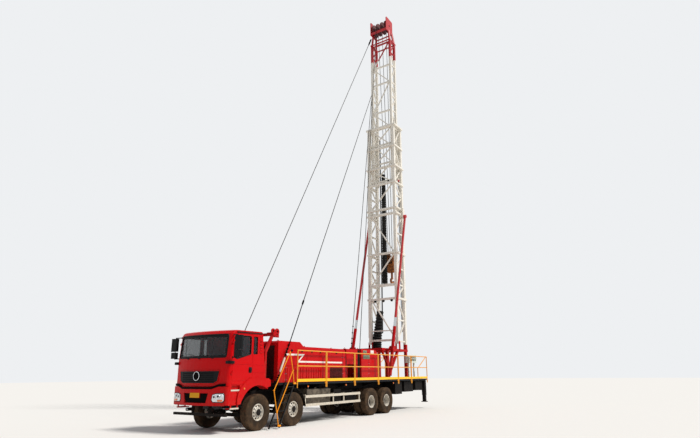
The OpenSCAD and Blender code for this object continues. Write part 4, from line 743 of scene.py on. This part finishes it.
# Dark discs on the cheeks: painted shade in the holes
repeat("mast_rest_holes", both_sides([(0.93, 3.22), (1.14, 3.21)], 0.947), None, {"Radius": 0.034, "Depth": 0.006},
       round_head, black_and_shade)

gauges = [(x, -1.186, z) for x in (11.2, 11.36, 11.52, 11.72) for z in (2.38, 2.54)]
repeat("console_gauges", gauges, None, {"Radius": 0.052, "Depth": 0.014}, round_head, black_plastic)

screens = Piece("housing_screens")
screens.prism(rounded((4.14, 1.56), (5.03, 1.98), 0.02), "xz", HOUSING_SIDE - 0.004, HOUSING_SIDE + 0.008)
screens.mirrored().give(grille_red, "dark_red_paint")
# Dark discs on the screens: painted shade in the perforations
holes = both_sides([(4.19 + i * 0.05, 1.59 + j * 0.052) for i in range(17) for j in range(8)], HOUSING_SIDE + 0.009)
repeat("housing_screen_holes", holes, None, {"Radius": 0.016, "Depth": 0.004}, round_head, black_and_shade)

seams = Piece("housing_seams")
inside, outside = HOUSING_SIDE - 0.004, HOUSING_SIDE + 0.002
for x, foot, head in [(x, DECK + 0.03, 2.6) for x in (1.44, 3.88, 5.05, 5.9, 7.15)] + [(2.65, 2.02, 2.62)]:
    seams.block((x - 0.006, inside, foot), (x + 0.006, outside, head), 0.001)
seams.block((1.44, inside, 2.015), (5.05, outside, 2.027), 0.001)
seams.mirrored().give(black_and_shade, "mirror_black")

screws = both_sides([(x, 1.54 + k * 0.21) for x in (1.4, 1.48, 3.84, 3.92, 5.01, 5.09, 5.86, 5.94, 7.11, 7.19)
                     for k in range(6)], HOUSING_SIDE + 0.003)
repeat("housing_screws", screws, None, {"Radius": 0.011, "Depth": 0.012}, hex_head, ground_steel)

vents = Piece("drawworks_vents")
for x0, x1, z0, z1 in ((6.68, 6.98, 2.57, 2.72), (6.68, 7.24, 2.36, 2.53)):
    vents.block((x0, HOUSING_SIDE - 0.004, z0), (x1, HOUSING_SIDE + 0.01, z1))
vents.mirrored().give(vent_green, "bare_steel")
rows = ((6.83, 2.57, 4), (6.83, 2.36, 5), (7.09, 2.36, 5))
blades = both_sides([(x, foot + 0.025 + k * 0.03) for x, foot, count in rows for k in range(count)],
                    HOUSING_SIDE + 0.012)
repeat("drawworks_vent_blades", blades, [(-math.copysign(0.5, y), 0, 0) for _, y, _ in blades],
       {"Length": 0.24, "Width": 0.01, "Depth": 0.02}, slat, vent_green)

blank_sign = Piece("drawworks_blank_sign")
blank_sign.block((7.32, HOUSING_SIDE - 0.002, 2.6), (7.6, HOUSING_SIDE + 0.006, 2.74), 0.003)
blank_sign.mirrored().give(white_tape, "cream_paint")

roof_eyes = Piece("housing_lifting_eyes")
for x, z in ((1.35, 2.88), (2.05, 2.88), (2.9, 2.72), (4.7, 2.72), (5.7, 2.76), (6.75, 2.78)):
    for y in (-0.8, 0.8):
        arc = [(x + 0.045 * math.cos(t), y, z + 0.05 * math.sin(t)) for t in angles(16)[:9]]
        roof_eyes.sweep(arc, 0.011, 8)
        roof_eyes.turned([(-0.004, 0.06), (0.006, 0.06), (0.01, 0.054)], (x, y, z), "z", 16)
roof_eyes.give(frame_red, "red_paint")

# Lines and hoses: each has a part on either side of the place where its two bodies change over


def mast_at(x, y, u):
    """A point of the mast's frame, measured from the first axle."""
    return Matrix.Translation(HINGE) @ Matrix.Rotation(LEAN, 4, "Y") @ Vector((x, y, u))


def level_point(foot, top, height):
    """Where a straight line from foot to top passes a height."""
    return foot.lerp(top, (height - foot.z) / (top.z - foot.z))


def straight(name, low, high, count, material):
    """A straight rope with points at equal steps, on no body yet."""
    points = [low.lerp(high, k / (count - 1)) for k in range(count)]
    return Piece(name).sweep(points, ROPE, 8).give(material, "wire_rope", None)


ROPE = 0.016
GUY_SPLIT = 14.6
FALL_SPLIT = 15.7
guys = {
    "far_guy": (Vector((0.8, 1.3, 1.53)), mast_at(0.15, 0.7, 19.1)),
    "near_guy": (Vector((0.8, -1.3, 1.53)), mast_at(0.14, 0.7, 15.0)),
    "short_guy": (Vector((8.69, 0.795, 2.93)), mast_at(0.14, 0.7, 14.9)),
    "fast_line": (Vector((7.793, -0.2, 2.05)), Vector((10.934, 0.15, 22.897))),
}
for label, (foot, top) in guys.items():
    knot = level_point(foot, top, GUY_SPLIT)
    lower = straight(label + "_lower", foot, knot, 24, rope)
    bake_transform(lower)
    upper = straight(label + "_upper", knot, top, 12, rope)
    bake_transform(upper)
    if label == "far_guy":
        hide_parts("stay_lines")

for k, y in enumerate((-0.43, -0.15, 0.15, 0.43), 1):
    foot, top = Vector((11.7, y * 0.45, 8.282)), Vector((11.7, y, 22.84))
    knot = level_point(foot, top, FALL_SPLIT)
    upper = straight(f"fall_{k}_upper", knot, top, 10, greased_rope)
    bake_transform(upper)
    lower = straight(f"fall_{k}_lower", foot, knot, 10, greased_rope)
    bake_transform(lower)
    if k == 1:
        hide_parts("drill_lines")


def on_guy(label, *distances):
    """Points on a guy, measured from its foot, or from its top where the distance is below zero."""
    foot, top = guys[label]
    run = (top - foot).normalized()
    return [(foot if d > 0 else top) + run * d for d in distances]


turnbuckle = Piece("near_guy_turnbuckle")
turnbuckle.sweep(on_guy("near_guy", 0.32, 0.36, 0.4, 0.84, 0.88, 0.92), [0.014, 0.034, 0.036, 0.036, 0.034, 0.014], 16)
turnbuckle.give(cream_paint_and_highlight, "cream_paint")
pendant = Piece("near_guy_pendant").sweep(on_guy("near_guy", 0.9, 2.0, 3.3), 0.018, 8)
pendant.sweep(on_guy("near_guy", 3.28, 3.34, 3.46, 3.52), [0.02, 0.036, 0.036, 0.02], 10)
pendant.give(black_and_shade, "black_paint")
clips = Piece("rope_clips")
for place in (on_guy("near_guy", 0.12, 0.2, 1.02, 1.14, 1.28, 1.44) + on_guy("short_guy", 0.25, 0.5, 0.78, 1.1)
              + on_guy("far_guy", 0.12, 0.24, 0.36, 0.6)):
    half = Vector((0.032, 0.024, 0.028))
    clips.block(place - half, place + half, 0.008)
    clips.sweep([place - Vector((0.05, 0, 0)), place + Vector((0.05, 0, 0))], 0.012, 10)
clips.give(black_and_shade, "black_paint")
far_clamp = Piece("far_guy_clamp").sweep(on_guy("far_guy", -0.75, -0.6, -0.12, -0.02), [0.02, 0.045, 0.045, 0.02], 10)
far_clamp.give(black_and_shade, "black_paint", "mast_upper")

eyes = Piece("guy_anchor_eyes")
for sign, _ in SIDES:
    middle = Vector((0.8, sign * 1.3, 1.545))
    eyes.sweep([middle + Vector((0.035 * math.cos(t), 0, 0.045 * math.sin(t))) for t in angles(16) + [2 * math.pi]],
               0.011, 8)
eyes.give(chassis_black, "black_paint")


def ribbed(path, wide, narrow, count):
    """Points along a path and radii that swell at every rib."""
    path = [Vector(p) for p in path]
    steps = count * 6
    points, radii = [], []
    for i in range(steps + 1):
        whole = i / steps * (len(path) - 1)
        k = min(int(whole), len(path) - 2)
        points.append(path[k].lerp(path[k + 1], whole - k))
        swell = 0.25 * (0.5 - 0.5 * math.cos(2 * math.pi * (i % 6) / 6)) ** 0.7
        radii.append((wide + (narrow - wide) * i / steps) * (1 + swell))
    return points, radii


points, radii = ribbed([mast_at(0.42, 0.13, u) for u in (3.2, 4.5, 6.0, 7.5, 9.62)], 0.13, 0.095, 62)
hose = Piece("upper_ribbed_hose").sweep(points, radii, 20).give(hose_rubber, "mirror_black", None, 60)
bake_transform(hose)
points, radii = ribbed([(10.86, 0.62, 2.93), (10.88, 0.58, 3.4), (10.9, 0.48, 4.1), (10.92, 0.36, 4.95)], 0.24,
                       0.15, 16)
hose = Piece("lower_ribbed_hose").sweep(points, radii, 20).give(hose_rubber, "mirror_black", None, 60)
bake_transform(hose)

# Mast fittings

ring_lamps = Piece("ring_beam_lamps", MAST)
lenses = Piece("ring_beam_lenses", MAST)
shade = [(0.0, 0.07), (-0.05, 0.075), (-0.09, 0.05), (-0.1, 0.02)]
for y in (-0.5, 0.0, 0.5):
    ring_lamps.turned(shade, (-0.02, y, RING_BEAM - 0.05), "z", 20)
    lenses.turned([(0.0, 0.05), (-0.01, 0.045), (-0.016, 0.0)], (-0.02, y, RING_BEAM - 0.152), "z", 20)
ring_lamps.give(black_plastic, "mirror_black", "mast_lower")
lenses.give(lamp_bowl, "bare_steel", "mast_lower")

beacon = Piece("mast_beacon", MAST)
beacon.turned([(0.0, 0.055), (0.03, 0.06), (0.1, 0.05), (0.13, 0.02), (0.135, 0.0)], (0.28, -LOWER_SIDE - 0.06, 8.9),
              "z", 20)
beacon.give(lamp_red, "red_paint", "mast_lower")
beacon_arm = Piece("mast_beacon_arm", MAST)
beacon_arm.block((0.24, -LOWER_SIDE - 0.1, 8.87), (0.32, -LOWER_SIDE + 0.06, 8.9))
beacon_arm.turned([(0.0, 0.05), (0.04, 0.055), (0.1, 0.04)], (-0.02, -0.42, 8.98), "x", 16)
beacon_arm.give(black_plastic, "mirror_black", "mast_lower")

# Supply pipes that run up the lower section
pipes = Piece("mast_supply_pipes", MAST)
for x, y, radius in ((0.94, 0.62, 0.035), (0.93, -0.62, 0.022), (0.93, -0.56, 0.016)):
    pipes.sweep([(x, y, u) for u in (0.6, 6.4, 12.2)], radius, 10)
pipes.give(hose_rubber, "mirror_black", "mast_lower")


def gusset_plates(name, levels, legs, half_height, reach, inner, outer, material, body):
    """Three-cornered plates inside the legs of a section, one on each leg at every joint."""
    plates = Piece(name, MAST)
    for u in levels:
        for x, s in zip(legs, (1, -1)):
            plates.prism([(x - s * 0.01, u - half_height), (x + s * reach, u), (x - s * 0.01, u + half_height)], "xz",
                         inner, outer, 0.0)
    plates.mirrored().give(material, "cream_paint", body)


gusset_plates("lower_gussets", (0.075, 1.15, 2.27, 3.01, 3.9, 4.75, 5.87, 6.99, 7.3, 8.1, 8.84, 9.85, 11.12, 12.4),
              (LOWER_LEG, LOWER_DEPTH - LOWER_LEG), 0.11, 0.1, 0.79, 0.802, mast_cream, "mast_lower")
gusset_plates("upper_gussets", (9.08, 10.2, 11.4, 12.45, 13.58, 14.55, 15.53, 16.73, 17.6, 18.38),
              (UPPER_FRONT + UPPER_LEG, UPPER_FRONT + UPPER_DEPTH - UPPER_LEG), 0.09, 0.08, 0.63, 0.64, mast_top,
              "mast_upper")

# Wheels: nuts stand on the dished rims, and the hand holes of the front rims are lined with shadow

NUT_CIRCLE = 0.14
FRONT_NUTS, REAR_NUTS = 1.21, 0.957
HOLE_CIRCLE = 0.192
HAND_HOLES = 1.182
DISH_SLOPE = math.radians(28.8)
around = [Vector((math.cos(t), 0, math.sin(t))) for t in angles(10)]
for axle, x in enumerate(AXLES, 1):
    for sign, side in SIDES:
        wheel = f"wheel_{axle}_{side}"
        face = Vector((x, sign * (FRONT_NUTS if axle < 3 else REAR_NUTS), HUB_HEIGHT))
        repeat(f"wheel_nuts_{axle}_{side}", [face + out * NUT_CIRCLE for out in around], None,
               {"Radius": 0.017, "Depth": 0.03}, hex_head, ground_steel, wheel)
        if axle < 3:
            centre = Vector((x, sign * HAND_HOLES, HUB_HEIGHT))
            tilted = [out * math.sin(DISH_SLOPE) + Vector((0, sign * math.cos(DISH_SLOPE), 0)) for out in around]
            repeat(f"wheel_hand_holes_{axle}_{side}",
                   [centre + out * HOLE_CIRCLE + n * 0.001 for out, n in zip(around, tilted)],
                   [tuple(n.to_track_quat("Z", "Y").to_euler()) for n in tilted],
                   {"Radius": 0.03, "Depth": 0.004}, round_head, black_and_shade, wheel)

# Floor, light and camera

FLOOR_HALF = 150
floor_mesh = bpy.data.meshes.new("studio_floor")
floor_mesh.from_pydata([(x * FLOOR_HALF, y * FLOOR_HALF, 0) for x, y in ((-1, -1), (1, -1), (1, 1), (-1, 1))], [],
                       [(0, 1, 2, 3)])
floor = bpy.data.objects.new("studio_floor", floor_mesh)
bpy.context.scene.collection.objects.link(floor)
paper = Finish("pale_studio_floor")
floor_mesh.materials.append(paper.surface("ShaderNodeBsdfDiffuse", {"Color": linear("#e6e4e0")}))

# The world is a soft dome of light, and a bright even backdrop where the camera or a reflection sees it
world = bpy.data.worlds.new("studio_world")
bpy.context.scene.world = world
world.use_nodes = True
tree = world.node_tree
tree.nodes.clear()
path = add(tree, "ShaderNodeLightPath").outputs
seen = path["Is Camera Ray"]
for ray in ("Is Transmission Ray", "Is Glossy Ray"):
    seen = add(tree, "ShaderNodeMath", {0: seen, 1: path[ray]}, operation="MAXIMUM").outputs[0]
dome = add(tree, "ShaderNodeBackground", {"Color": linear("#eef2f8"), "Strength": 0.45}).outputs[0]
backdrop = add(tree, "ShaderNodeBackground", {"Color": linear("#eef0f2"), "Strength": 1.0}).outputs[0]
both = add(tree, "ShaderNodeMixShader", {0: seen, 1: dome, 2: backdrop})
add(tree, "ShaderNodeOutputWorld", {"Surface": both.outputs[0]})

sun = bpy.data.lights.new("window_light", "SUN")
sun.energy = 3.2
sun.angle = math.radians(12)
sun.color = (1.0, 0.97, 0.93)
sun_object = bpy.data.objects.new("window_light", sun)
sun_object.rotation_euler = Vector((0.25, -0.75, 0.95)).to_track_quat("Z", "Y").to_euler()
bpy.context.scene.collection.objects.link(sun_object)

# The camera stands at eye height ahead of the left front corner and looks up the mast
EYE = (-18.77, -13.33, 1.733)
YAW, PITCH, ROLL = 0.5754, 0.2911, -0.0082
SENSOR = 36.0
FOCAL_SHARE = 509.6 / 700
zenith = Vector((0, 0, 1))
ahead = Vector((math.cos(YAW), math.sin(YAW), 0))
right = Vector((math.sin(YAW), -math.cos(YAW), 0))
look = ahead * math.cos(PITCH) + zenith * math.sin(PITCH)
up = zenith * math.cos(PITCH) - ahead * math.sin(PITCH)
camera_data = bpy.data.cameras.new("camera")
camera_data.sensor_width = SENSOR
camera_data.lens = FOCAL_SHARE * SENSOR
camera_data.shift_y = 0.003
camera_data.clip_end = 400
camera = bpy.data.objects.new("camera", camera_data)
turn = Matrix((right * math.cos(ROLL) + up * math.sin(ROLL), up * math.cos(ROLL) - right * math.sin(ROLL), -look))
camera.matrix_world = Matrix.Translation(EYE) @ turn.transposed().to_4x4()
bpy.context.scene.collection.objects.link(camera)
bpy.context.scene.camera = camera
bpy.context.scene.view_settings.view_transform = "Standard"
